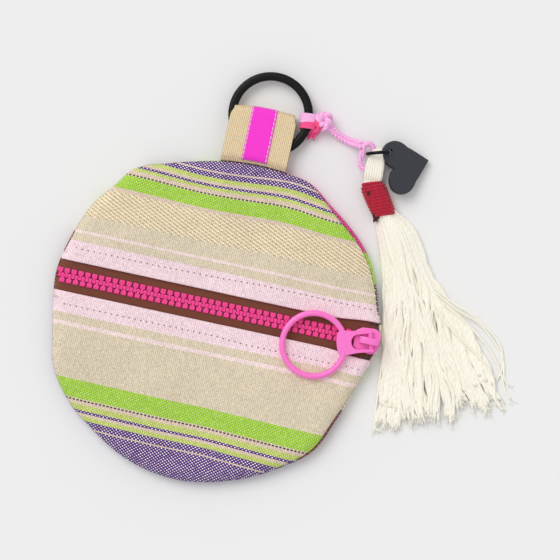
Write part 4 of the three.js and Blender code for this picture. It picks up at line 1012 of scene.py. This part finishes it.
KEY_AT = np.array([3.9, 85.4, 4.0])
key_points = turned(KEY_AT, 17 - 1.75, 1.75, 1.5, 0.5)
key_ring = put("key_ring_band", key_points.reshape(-1, 3),
               grid_faces(160, 20, wrap_rows=True, wrap_columns=True))
key_ring.data.materials.append(coated("black_coated_steel", "#0d0d0f", 0.38))
JUMP_AT, JUMP_TURN = np.array([49.1, 79.3, 6.5]), np.radians(17)
a = 2 * np.pi * np.arange(72) / 72
jump_path = JUMP_AT + np.stack([4.3 * np.cos(a) * np.cos(JUMP_TURN), 4.3 * np.cos(a) * np.sin(JUMP_TURN),
                                4.3 * np.sin(a)], -1)
jump_ring = strands("jump_ring_wire", jump_path[None], 0.7, sides=14,
                    across=(-np.sin(JUMP_TURN), np.cos(JUMP_TURN), 0), closed=True)
jump_ring.data.materials.append(key_ring.data.materials[0])
for piece, node in ((key_ring, "key_ring"), (jump_ring, "jump_ring")):
    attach(piece, "pouch")
    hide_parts(node)
print("rings", len(key_ring.data.polygons) + len(jump_ring.data.polygons), "faces")

# %% [markdown]
# The heart is a thick cast tag with a matt grey coating. Its outline is two curves a side, filled
# between two faces by a flat curve with rounded edges, then made a mesh. It is tilted, with its point
# on the surface, because it hangs on the ring's wire by the hole in one lobe.

# %% Heart tag
HEART_LONG, HEART_WIDE, HEART_THICK, HEART_TURN, HEART_TILT = 18.2, 21.8, 3.0, 26.0, 16.0


def bezier(points, n):
    t = np.linspace(0, 1, n, endpoint=False)[:, None]
    p, q, r, s = (np.array(v, float) for v in points)
    return (1 - t) ** 3 * p + 3 * (1 - t) ** 2 * t * q + 3 * (1 - t) * t**2 * r + t**3 * s


def heart_outline():
    """Half the outline from the notch over a lobe to the point, then its mirror image back."""
    tip, half = HEART_LONG * 0.8, HEART_WIDE / 2
    lobe = HEART_LONG - tip
    half_line = np.concatenate([
        bezier([(0, 0), (-lobe * 0.8, half * 0.1), (-lobe * 1.35, half * 0.62),
                (-lobe * 0.55, half * 0.86)], 18),
        bezier([(-lobe * 0.55, half * 0.86), (lobe * 0.2, half * 1.1), (lobe * 1.3, half * 1.02),
                (tip * 0.5, half * 0.64)], 18),
        bezier([(tip * 0.5, half * 0.64), (tip * 0.67, half * 0.46), (tip * 0.84, half * 0.21), (tip, 0)],
               8),
        [[tip, 0.0]],
    ])
    mirror = half_line[1:-1][::-1] * np.array([1, -1])
    return np.concatenate([half_line, mirror])


a = 2 * np.pi * np.arange(28) / 28
hole = np.array([-0.3, 6.9]) + 1.0 * np.stack([np.cos(a), np.sin(a)], -1)
heart = plate_from("heart_plate", [heart_outline(), hole], HEART_THICK, 0.3)
tilt, turn = np.radians(HEART_TILT), np.radians(HEART_TURN)
wire = 4.2 * np.array([np.cos(JUMP_TURN), np.sin(JUMP_TURN)])
hx, hy = -0.3 * np.cos(tilt), 6.9
heart_at = JUMP_AT[:2] + wire - np.array([hx * np.cos(turn) - hy * np.sin(turn),
                                          hx * np.sin(turn) + hy * np.cos(turn)])


def lean(local):
    """Tilts the plate about its notch line so that its point comes down, then turns it and moves it."""
    across, depth = local[:, 1], local[:, 2] + HEART_THICK / 2
    x = local[:, 0] * np.cos(tilt) + depth * np.sin(tilt)
    z = depth * np.cos(tilt) - local[:, 0] * np.sin(tilt)
    return np.stack([heart_at[0] + x * np.cos(turn) - across * np.sin(turn),
                     heart_at[1] + x * np.sin(turn) + across * np.cos(turn),
                     z + HEART_LONG * 0.8 * np.sin(tilt) + 0.05], -1)


placed = reshape_points(heart, lean)
heart.data.materials.append(coated("matt_grey_coating", "#3d3f45", 0.62, 0.2))
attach(heart, "pouch")
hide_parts("heart_tag")
print("heart", len(heart.data.polygons), "faces, lowest point, mm:", round(float(placed[:, 2].min()), 2))

# %% [markdown]
# The link is crocheted cotton in light pink with a deep pink strand inside. Its turns round the
# ring, its knot, its chain and its end loop are all strands of the same yarn, so they share one maker
# and one finish. A chain of stitches looks like a flat braid, so the chain is three strands that cross.

# %% Crocheted link
def yarn(name, colour, dark, pitch, plies=3, depth=0.08, shade=0.5):
    """Twisted yarn: plies wind round the strand, so painted groove shade and relief follow turn plus
    length.
    """
    material, tree, shader = finish(name, 0.88)
    turn_share, length = lay_of(tree, 1.0, pitch)
    ply = wave(tree, maths(tree, "ADD", maths(tree, "MULTIPLY", turn_share, float(plies)), length))
    position = add(tree, "ShaderNodeTexCoord").outputs["Object"]
    lint = add(tree, "ShaderNodeTexNoise", [("Vector", position), ("Scale", 1500.0), ("Detail", 2.0)])
    # The grooves between plies are painted towards the dark colour, by up to shade: painted shade.
    painted_groove_shade = add(tree, "ShaderNodeMapRange", [("Value", ply), ("From Min", -1.0), ("From Max", 0.2),
                                              ("To Min", shade), ("To Max", 0.0)]).outputs["Result"]
    tree.links.new(blend(tree, painted_groove_shade, linear(colour), linear(dark)), shader.inputs["Base Color"])
    shader.inputs["Sheen Weight"].default_value = 0.25
    shader.inputs["Specular IOR Level"].default_value = 0.2
    raise_by(tree, shader, maths(tree, "ADD", ply, lint.outputs["Fac"]), depth)
    return material


light_yarn = yarn("pink_crochet_yarn", "#ffc4f0", "#fc93da", 1.6, depth=0.05)
deep_yarn = yarn("deep_pink_yarn", "#ff5c9c", "#ff3f86", 1.6, depth=0.05)
KNOT_TURN = np.radians(4.7)


def from_ring(local):
    """Local points, x outwards from the key ring's middle along the knot, into the row's frame."""
    c, s = np.cos(KNOT_TURN), np.sin(KNOT_TURN)
    x, y, z = np.moveaxis(np.asarray(local, float), -1, 0)
    return np.stack([KEY_AT[0] + x * c - y * s, KEY_AT[1] + x * s + y * c, z], -1)


t = np.linspace(0, 2 * np.pi, 49)[None, :-1]
offset = np.array([-1.35, -0.45, 0.5, 1.4])[:, None]
turns = np.stack([15.25 + 2.85 * np.sign(np.cos(t)) * np.abs(np.cos(t)) ** 0.7 + 0 * offset,
                  offset + 0.35 * np.sin(t) + 0 * t,
                  4.0 + 2.55 * np.sign(np.sin(t)) * np.abs(np.sin(t)) ** 0.7 + 0 * offset], -1)
ACROSS_KNOT = (-np.sin(KNOT_TURN), np.cos(KNOT_TURN), 0)
ring_turns = strands("yarn_round_ring", from_ring(turns), 0.66, sides=10, across=ACROSS_KNOT, closed=True)
ring_turns.data.materials.append(light_yarn)
deep_steps = np.array([0.25, 0.0, 0.1]) * np.arange(3)[:, None, None]
deep_places = turns[:3] - np.array([0.0, 2.2, 0.0]) + deep_steps
deep_turns = strands("deep_yarn_round_ring", from_ring(deep_places), 0.6, sides=10, across=ACROSS_KNOT,
                     closed=True)
deep_turns.data.materials.append(deep_yarn)

t = np.linspace(0, 2 * np.pi, 121)[:-1]
knots = []
for turn_by, size, lift in ((0.0, 1.0, 4.3), (1.1, 0.9, 4.7), (2.3, 0.75, 4.2)):
    kx = (np.sin(t) + 2 * np.sin(2 * t)) / 3 * 3.0 * size
    ky = (np.cos(t) - 2 * np.cos(2 * t)) / 3 * 3.6 * size
    kz = -np.sin(3 * t) * 2.1 * size
    c, s = np.cos(turn_by), np.sin(turn_by)
    knots.append(np.stack([21.4 + kx * c - ky * s * 0.85, 0.3 + (kx * s + ky * c), lift + kz], -1))
knot = strands("crochet_knot", from_ring(np.array(knots)), 0.95, sides=10, closed=True)
knot.data.materials.append(light_yarn)
print("turns and knot", len(ring_turns.data.polygons) + len(knot.data.polygons), "faces")

# %% Deep pink strand and tail of the knot
loops = curve_through([(17.7, 0.4, 5.6), (18.8, -0.8, 6.6), (19.6, -2.2, 6.6), (19.2, -3.8, 5.6),
                       (17.8, -4.4, 4.6), (17.4, -3.0, 4.8), (18.4, -1.6, 6.0), (19.9, -2.8, 5.4),
                       (19.2, -4.8, 3.6),
                       (17.9, -6.6, 1.9)], 90)
loops_two = loops * np.array([1, 1, 0.93]) + np.array([0.7, 0.5, -0.1])
deep = strands("deep_pink_strand", from_ring(np.array([loops, loops_two])), 0.72, sides=8)
deep.data.materials.append(deep_yarn)
tail_shift = rng.normal(0, 1, (22, 1, 3)) * np.array([0.6, 0.45, 0.35])
s = np.linspace(0, 1, 14)[None, :, None]
tail_start = np.array([18.4, -2.6, 4.0]) + 0.9 * tail_shift
tail_end = np.array([16.6, -7.0, 2.2]) + np.array([2.4, 1.2, 1.6]) * tail_shift * 1.3
tail_bow = np.array([0.5, 0, 0.3]) * np.sin(s * 5 + 9 * tail_shift[..., :1])
tail_paths = tail_start + (tail_end - tail_start) * s + tail_bow
tail_paths[..., 2] = np.maximum(tail_paths[..., 2], 0.4)
tail = strands("knot_tail", from_ring(tail_paths), 0.34, sides=6)
tail.data.materials.append(deep_yarn)
print("deep strand and tail", len(deep.data.polygons) + len(tail.data.polygons), "faces")

# %% [markdown]
# Braid: along a centre line, each strand swings sideways once and up and down twice in one pitch, a
# third of a pitch behind the last. The end loop is two strands twisted round a long oval.

# %% Chain and end loop
CHAIN_LINE = [(27.2, 85.8, 4.4), (28.8, 85.1, 3.5), (31.0, 83.6, 2.8), (33.0, 82.7, 2.1),
              (35.4, 82.0, 1.9),
              (37.4, 81.6, 2.5), (39.0, 81.4, 4.0), (40.5, 81.2, 5.6), (42.2, 80.9, 6.0)]


def braid(line, pitch, side_swing, up_swing, count=3):
    ahead = unit(np.gradient(line, axis=0))
    side = unit(np.cross(ahead, [0, 0, 1]))
    up = np.cross(side, ahead)
    run = np.concatenate([[0], np.cumsum(np.linalg.norm(np.diff(line, axis=0), axis=1))])
    phase = 2 * np.pi * (run[None] / pitch + np.arange(count)[:, None] / count)
    return (line[None] + side_swing * np.sin(phase)[..., None] * side
            + up_swing * np.sin(2 * phase)[..., None] * up)


chain_line = curve_through(CHAIN_LINE, 110)
chain = strands("crochet_chain", braid(chain_line, 4.6, 1.05, 0.55), 0.66, sides=10)
chain.data.materials.append(light_yarn)
LOOP_AT, LOOP_TILT = np.array([45.3, 77.2, 5.1]), np.radians(14)
t = 2 * np.pi * np.arange(96)[None] / 96
phase = 7 * t + np.array([0, np.pi])[:, None]
ox = (2.15 + 0.6 * np.cos(phase)) * np.cos(t) - 0.3
oy = (2.15 + 0.6 * np.cos(phase)) * np.sin(t) + np.tanh(6 * np.sin(t)) * 2.9
oz = 0.6 * np.sin(phase)
loop_paths = LOOP_AT + np.stack([ox * np.cos(LOOP_TILT) + oz * np.sin(LOOP_TILT), oy,
                                 oz * np.cos(LOOP_TILT) - ox * np.sin(LOOP_TILT)], -1)
end_loop = strands("crochet_end_loop", loop_paths, 0.66, sides=10, closed=True)
end_loop.data.materials.append(light_yarn)
for piece, nodes in ((ring_turns, ["cord_knot"]), (deep_turns, []), (knot, []), (deep, []), (tail, []),
                     (chain, ["pink_cord"]),
                     (end_loop, ["cord_end_loop"])):
    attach(piece, "pouch")
    if nodes:
        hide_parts(*nodes)
print("chain and loop", len(chain.data.polygons) + len(end_loop.data.polygons), "faces")

# %% [markdown]
# The tassel's binding is thread wound round and round, laid on a slant. One long path winds round an
# oval, and a core in the same thread behind it closes the gaps between turns.

# %% Binding of the tassel
TASSEL_AT, TASSEL_TURN, WRAP_LENGTH = np.array([49.4, 67.0]), np.radians(-55.5), 13.7
WRAP_PROFILE = np.array([(0, 0.9), (0.08, 1.02), (0.5, 1.0), (0.92, 0.97), (1, 0.88)])


def from_tassel(local):
    """Local points, x from the binding's upper end towards the skirt, into the row's frame."""
    c, s = np.cos(TASSEL_TURN), np.sin(TASSEL_TURN)
    x, y, z = np.moveaxis(np.asarray(local, float), -1, 0)
    return np.stack([TASSEL_AT[0] + x * c - y * s, TASSEL_AT[1] + x * s + y * c, z], -1)


AXIS = (np.cos(TASSEL_TURN), np.sin(TASSEL_TURN), 0)


def winding(turns, slant, radius, phase=0.0, start=0.03, end=0.97, loose=0.0):
    """Path round the oval: along by one pitch a turn, and slanted by a share of its sideways place."""
    t = np.linspace(0, 1, int(turns * 44))
    a = 2 * np.pi * turns * t + phase
    x = WRAP_LENGTH * (start + (end - start) * t) + slant * 4.4 * np.cos(a)
    size = np.interp(np.clip(x / WRAP_LENGTH, 0, 1), WRAP_PROFILE[:, 0], WRAP_PROFILE[:, 1])
    size = size * (0.86 + 0.16 * smoothstep(t, 0, 0.16) - 0.04 * smoothstep(t, 0.7, 1.0))
    wide, high = 5.0 * size - radius, 3.6 * size - radius
    wob = loose * np.sin(7.3 * a / (2 * np.pi) + 2 * np.sin(a * 0.31))
    return np.stack([x + wob * 0.5, (wide + wob * 0.1) * np.cos(a) - 0.15,
                     3.78 + (high + wob * 0.1) * np.sin(a)], -1)


thread = yarn("dark_red_thread", "#bd203a", "#861123", 2.4, plies=2, depth=0.05, shade=0.35)
wound = strands("wound_thread", from_tassel(winding(10.4, 0.27, 0.72, start=-0.02))[None], 0.72, sides=10,
                across=AXIS)
crossed = strands("crossed_thread", from_tassel(winding(2, 0.42, 0.6, 1.0, 0.3, 0.75, 0.7))[None], 0.48,
                  sides=8, across=AXIS)
share = np.linspace(0.03, 0.97, 24)
size = np.interp(share, WRAP_PROFILE[:, 0], WRAP_PROFILE[:, 1])
core_path = np.stack([WRAP_LENGTH * share, 0 * share, 3.75 + 0 * share], -1)
core = strands("thread_core", from_tassel(core_path)[None], 4.7 * size - 1.0, sides=28, flat=0.76)
for piece in (wound, crossed, core):
    piece.data.materials.append(thread)
    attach(piece, "pouch")
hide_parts("tassel_wrap")

# %% Loose ends of the binding
ends = np.array([12.9, -3.6, 4.2]) + rng.normal(0, 1, (26, 1, 3)) * np.array([0.6, 0.7, 1.0])
s = np.linspace(0, 1, 8)[None, :, None]
loose = ends + np.array([2.4, -0.3, -0.2]) * (s - 0.5) + rng.normal(0, 0.5, (26, 1, 3)) * s**2
loose_ends = strands("loose_thread_ends", from_tassel(loose), 0.3, sides=6)
loose_ends.data.materials.append(yarn("brown_red_thread", "#5a1c1a", "#33100f", 1.0))
slit = np.array([[(2.1, -3.1, 7.15), (2.7, -2.7, 7.35), (3.3, -2.3, 7.35)],
                 [(2.6, -3.5, 6.9), (3.2, -3.2, 7.1), (3.9, -2.9, 7.2)]])
nick = strands("nick_in_binding", from_tassel(slit), 0.3, sides=8)
nick.data.materials.append(loose_ends.data.materials[0])
for piece in (loose_ends, nick):
    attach(piece, "pouch")
print("binding", len(wound.data.polygons) + len(crossed.data.polygons) + len(core.data.polygons), "faces")

# %% [markdown]
# The skirt is some two hundred strands of twisted cream cotton, about 1.2 mm thick, in three layers: a
# base of thicker ones, then a lower and an upper layer that show. Each starts in the
# binding at its own place in the bundle, spreads to the same share of the fan's width, waves a little,
# and ends at its own length. The fan's edges and height come from a short table, measured on the
# photograph.

# %% Skirt of the tassel
SKIRT = np.array([  # distance from the binding's upper end, left edge, right edge, height, in mm
    (11.0, -2.3, 2.3, 3.6), (13.8, -3.4, 3.4, 5.6), (16, -4.4, 5.0, 6.6), (22.3, -6.2, 9.0, 6.5),
    (30, -7.6, 8.4, 6.2), (39, -9.8, 8.2, 5.8), (50, -14.4, 9.8, 5.4), (61, -20.0, 11.6, 4.9),
    (74, -27.0, 13.4, 4.3), (88, -33.6, 15.2, 3.7), (101, -38.4, 16.4, 3.0),
])
TIPS = np.array([  # share of the width from the left, distance of the tips, in mm
    (0, 89.5), (0.1, 91.5), (0.3, 92.5), (0.47, 95), (0.57, 97.5), (0.7, 94.5), (0.85, 99.5),
    (0.93, 96), (1, 101.5),
])
STRAND_RADIUS = 0.62


def skirt_at(column, x):
    """Smooth value of a column of the table: straight lines averaged over 4 mm either way."""
    return np.mean([np.interp(x + o, SKIRT[:, 0], SKIRT[:, column]) for o in (-4, -2, 0, 2, 4)], axis=0)


def skirt_strands(count, stations, seed, layers, short=0.0):
    """Place in the width, place in the height, length and waves for each strand, all as arrays."""
    pick = np.random.default_rng(seed)
    place = (np.arange(count) + pick.uniform(0.15, 0.85, count)) / count
    depth = pick.uniform(*layers, count)
    lock = np.round(place * 11 - 0.5)
    end = np.interp(place, TIPS[:, 0], TIPS[:, 1])
    end = end + 1.2 * np.sin(lock * 2.4) + pick.normal(0, 1.4, count) - short
    t = np.linspace(0, 1, stations)[None]
    x = 11.5 + (end[:, None] - 11.5) * t
    grow = smoothstep(x, 14, 60)
    gather = (lock + 0.5) / 11 + (place - (lock + 0.5) / 11) * 0.72
    share = place[:, None] * (1 - 0.6 * grow) + gather[:, None] * 0.6 * grow
    left, right = skirt_at(1, x), skirt_at(2, x)
    y = left + (right - left) * share
    one, two, three = (pick.uniform(0, 2 * np.pi, (count, 1)) for _ in range(3))
    y = y + grow * (0.85 * np.sin(x / 5.4 + one) + 0.5 * np.sin(x / 2.9 + two))
    y = y + 1.3 * grow * np.sin(lock[:, None] * 5 + x / 9)
    lens = 1 - 0.62 * (2 * share - 1) ** 2
    room = np.maximum(skirt_at(3, x) * lens - 2 * STRAND_RADIUS, 0.1)
    z = STRAND_RADIUS + room * depth[:, None] + 0.22 * np.sin(x / 3.3 + three) * grow
    lift = 3.75 - 0.5 * skirt_at(3, x)
    z = z + np.clip(lift, 0, 3) * (1 - smoothstep(x, 13, 18))
    return np.stack([x, y, np.maximum(z, STRAND_RADIUS + 0.05)], -1)


cotton = yarn("cream_cotton_yarn", "#fffcf0", "#f7ead0", 2.6, plies=2, depth=0.02, shade=0.42)
base_layer = skirt_strands(48, 60, 10, (0.0, 0.3), 7.0) + np.array([0, 0, 0.6])
lower_layer = skirt_strands(70, 74, 11, (0.3, 0.65))
upper_layer = skirt_strands(90, 84, 12, (0.62, 1.0))
taper = np.interp(np.linspace(0, 1, 84), [0, 0.06, 0.12, 0.97, 1], [0.7, 0.9, 1.05, 1.0, 0.75])
skirt_base = strands("skirt_base_strands", from_tassel(base_layer), 1.0, sides=7)
skirt_low = strands("skirt_lower_strands", from_tassel(lower_layer), 0.62, sides=7)
skirt_top = strands("skirt_upper_strands", from_tassel(upper_layer), 0.62 * taper, sides=8)
print("skirt", len(skirt_low.data.polygons) + len(skirt_top.data.polygons), "faces")

# %% Strays and frayed tips
STRAYS = [
    [(48, 7.0, 4.0), (56, 11.5, 3.2), (63, 16.6, 2.6), (72, 21.0, 1.6), (80, 23.0, 1.0), (88, 20.6, 0.7),
     (92, 16.5, 0.6)],
    [(50, 7.0, 4.4), (60, 12.5, 3.0), (68, 18.4, 1.8), (78, 21.4, 0.9), (86, 21.8, 0.7), (92, 19.6, 0.6),
     (96, 20.2, 0.6)],
    [(55, 8.0, 3.6), (68, 14.6, 2.6), (80, 18.5, 1.4), (90, 19.0, 0.8), (97, 18.0, 0.6),
     (101, 18.8, 0.6)],
    [(50, -11.0, 3.8), (62, -19.6, 2.6), (74, -27.0, 1.2), (84, -32.6, 0.7), (90, -35.8, 0.6),
     (93, -35.2, 0.6)],
    [(56, 4.0, 4.8), (68, 8.0, 4.4), (80, 13.0, 3.4), (90, 15.4, 2.4), (99, 13.0, 1.6), (104, 14.0, 0.8)],
]
stray_paths = np.array([curve_through(rows, 84) for rows in STRAYS])
strays = strands("stray_strands", from_tassel(stray_paths), 0.42, sides=8)
tips = np.concatenate([lower_layer[:, -1], upper_layer[:, -1], stray_paths[:, -1]])
heading = np.concatenate([lower_layer[:, -1] - lower_layer[:, -5],
                          upper_layer[:, -1] - upper_layer[:, -5],
                          stray_paths[:, -1] - stray_paths[:, -5]])
heading = unit(heading)
FIBRES = 4
s = np.linspace(0, 1, 6)[None, :, None]
fray_scatter = rng.normal(0, 0.16, (len(tips) * FIBRES, 1, 3))
start = np.repeat(tips - 0.8 * heading, FIBRES, 0)[:, None] + fray_scatter
run = np.repeat(heading, FIBRES, 0)[:, None] * rng.uniform(1.4, 3.4, (len(tips) * FIBRES, 1, 1))
splay = rng.normal(0, 1, (len(tips) * FIBRES, 1, 3)) * np.array([0.5, 0.9, 0.25])
fibre_paths = start + run * s + splay * s**1.7
fibre_paths[..., 2] = np.clip(fibre_paths[..., 2], 0.25, None)
fray = strands("frayed_tips", from_tassel(fibre_paths), 0.16 * (1 - 0.35 * np.linspace(0, 1, 6)), sides=4)
fray.data.materials.append(yarn("loose_cotton_fibre", "#fffdf4", "#fff9ea", 2.6, depth=0.001))
print("strays and fray", len(strays.data.polygons) + len(fray.data.polygons), "faces")

# %% [markdown]
# Above the binding the same strands make a flat loop that passes through the jump ring and comes back
# under it. They lie side by side in two layers and crowd together where the ring holds them.

# %% Head loop
to_ring = JUMP_AT[:2] - TASSEL_AT
ahead = unit(to_ring)
across_head = np.array([-ahead[1], ahead[0]])
REACH = float(np.linalg.norm(to_ring)) + 0.7 + GAP + 0.96
HEAD = [  # distance towards the ring, height, width share, shift to the left
    (-1.0, 4.6, 0.8, 0), (1.2, 4.9, 0.9, 0), (3.4, 6.0, 1.0, 0.1), (REACH * 0.55, 6.5, 0.95, 0.2),
    (REACH - 3.8, 6.4, 0.8, 0.1), (REACH - 2.0, 5.9, 0.62, -0.1), (REACH - 0.6, 4.1, 0.58, -0.1),
    (REACH - 0.75, 2.0, 0.58, -0.1), (REACH - 2.0, 0.9, 0.6, 0), (REACH * 0.5, 0.85, 0.9, 0.2),
    (3.2, 1.1, 0.9, 0.2), (1.2, 2.9, 0.8, 0), (-1.0, 3.1, 0.7, 0),
]
head_line = curve_through(HEAD, 110)
slot_place = np.linspace(-1, 1, 7)[:, None] * np.ones((1, 2))
layer_place = np.array([-1.0, 1.0])[None] * np.ones((7, 1))
slot_place, layer_place = slot_place.ravel(), layer_place.ravel()
slot_place = slot_place + 0.09 * layer_place
side_push = slot_place[:, None] * 2.95 * head_line[None, :, 2] + head_line[None, :, 3]
plane = np.stack([head_line[:, 0], head_line[:, 1]], -1)
normal = unit(np.gradient(plane, axis=0))
normal = np.stack([-normal[:, 1], normal[:, 0]], -1)
out = head_line[None, :, 0] + 0.22 * layer_place[:, None] * normal[None, :, 0]
up = head_line[None, :, 1] + 0.22 * layer_place[:, None] * normal[None, :, 1]
head_paths = np.stack([TASSEL_AT[0] + out * ahead[0] + side_push * across_head[0],
                       TASSEL_AT[1] + out * ahead[1] + side_push * across_head[1], np.maximum(up, 0.5)],
                       -1)
head_loop = strands("head_loop_strands", head_paths, 0.56, sides=8, across=(*across_head, 0))
for piece in (skirt_base, skirt_low, skirt_top, strays, fray, head_loop):
    if piece is not fray:
        piece.data.materials.append(cotton)
    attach(piece, "pouch")
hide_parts("tassel")
print("head loop", len(head_loop.data.polygons), "faces")

# %% [markdown]
# Small sewn details: the machine stitches beside the zip, coloured dark brown as painted shade of their
# needle holes, and the white stitches along the ribbon. Each stitch is a short thread that dips at both
# ends.

# %% Stitches
def surface_height(x, y, side):
    """Height of the front cloth under each point, found by a ray from above."""
    cloth = panels["front_cloth_upper" if side > 0 else "front_cloth_lower"]
    hits = [cloth.ray_cast((px * MM, py * MM, 0.05), (0, 0, -1)) for px, py in zip(x, y)]
    return np.array([where[2] / MM if found else np.nan for found, where, _, _ in hits])


def stitch_row(x, y, z, long, thick, direction=(1, 0)):
    """Short arcs: along the row by their length, up by a bow that is highest in the middle."""
    s = np.linspace(-0.5, 0.5, 7)[None]
    path_x = x[:, None] + s * long * direction[0]
    path_y = y[:, None] + s * long * direction[1]
    path_z = z[:, None] + thick * (0.75 - 5.0 * s**2)
    return np.stack([path_x, path_y, path_z], -1)


def sewing_thread(name, colour):
    material, tree, shader = finish(name, 0.6)
    turn_share, length = lay_of(tree, 1.0, 0.5)
    ply = wave(tree, maths(tree, "ADD", maths(tree, "MULTIPLY", turn_share, 2.0), length))
    shader.inputs["Base Color"].default_value = linear(colour)
    shader.inputs["Sheen Weight"].default_value = 0.2
    raise_by(tree, shader, ply, 0.04)
    return material


rows = []
for side, places in ((1, (16.8, 16.6, 17.2, 17.8, 17.6)), (-1, (-6.0, -6.0, -5.9, -6.7, -6.8))):
    x = np.arange(-60.5, 60.6, 2.4)
    y = np.interp(x, (-60, -28, 0, 13, 50), places)
    z = surface_height(x, y, side)
    kept = ~np.isnan(z)
    rows.append(stitch_row(x[kept], y[kept], z[kept] - 0.02, 0.42, 0.18))
topstitch = strands("zip_topstitch", np.concatenate(rows), 0.2, sides=6)
# The dark brown colour is painted shade of the needle holes.
topstitch.data.materials.append(sewing_thread("needle_hole_painted_shade", "#6f4d48"))
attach(topstitch, "pouch")

step = np.arange(1.2, float(r_run.max()) - 1.0, 1.9)
line_y, line_z = np.interp(step, r_run[:, 0], lifted[:, 0]), np.interp(step, r_run[:, 0], lifted[:, 1])
edges = []
for place in (-4.75, 4.55):
    centre = on_tab(np.full_like(step, place), line_y, line_z)
    s = np.linspace(-0.5, 0.5, 7)
    y = np.interp(step[:, None] + s * 1.25, r_run[:, 0], lifted[:, 0])
    z = np.interp(step[:, None] + s * 1.25, r_run[:, 0], lifted[:, 1]) + 0.22 - 0.9 * s**2
    edges.append(on_tab(np.full_like(y, place), y, z))
ribbon_stitch = strands("ribbon_stitches", np.concatenate(edges), 0.19, sides=6)
ribbon_stitch.data.materials.append(sewing_thread("white_sewing_thread", "#f7ddea"))
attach(ribbon_stitch, "pouch")
print("stitches", len(topstitch.data.polygons) + len(ribbon_stitch.data.polygons), "faces")

# %% [markdown]

# %% Bring the scene up to date
bpy.context.view_layer.update()
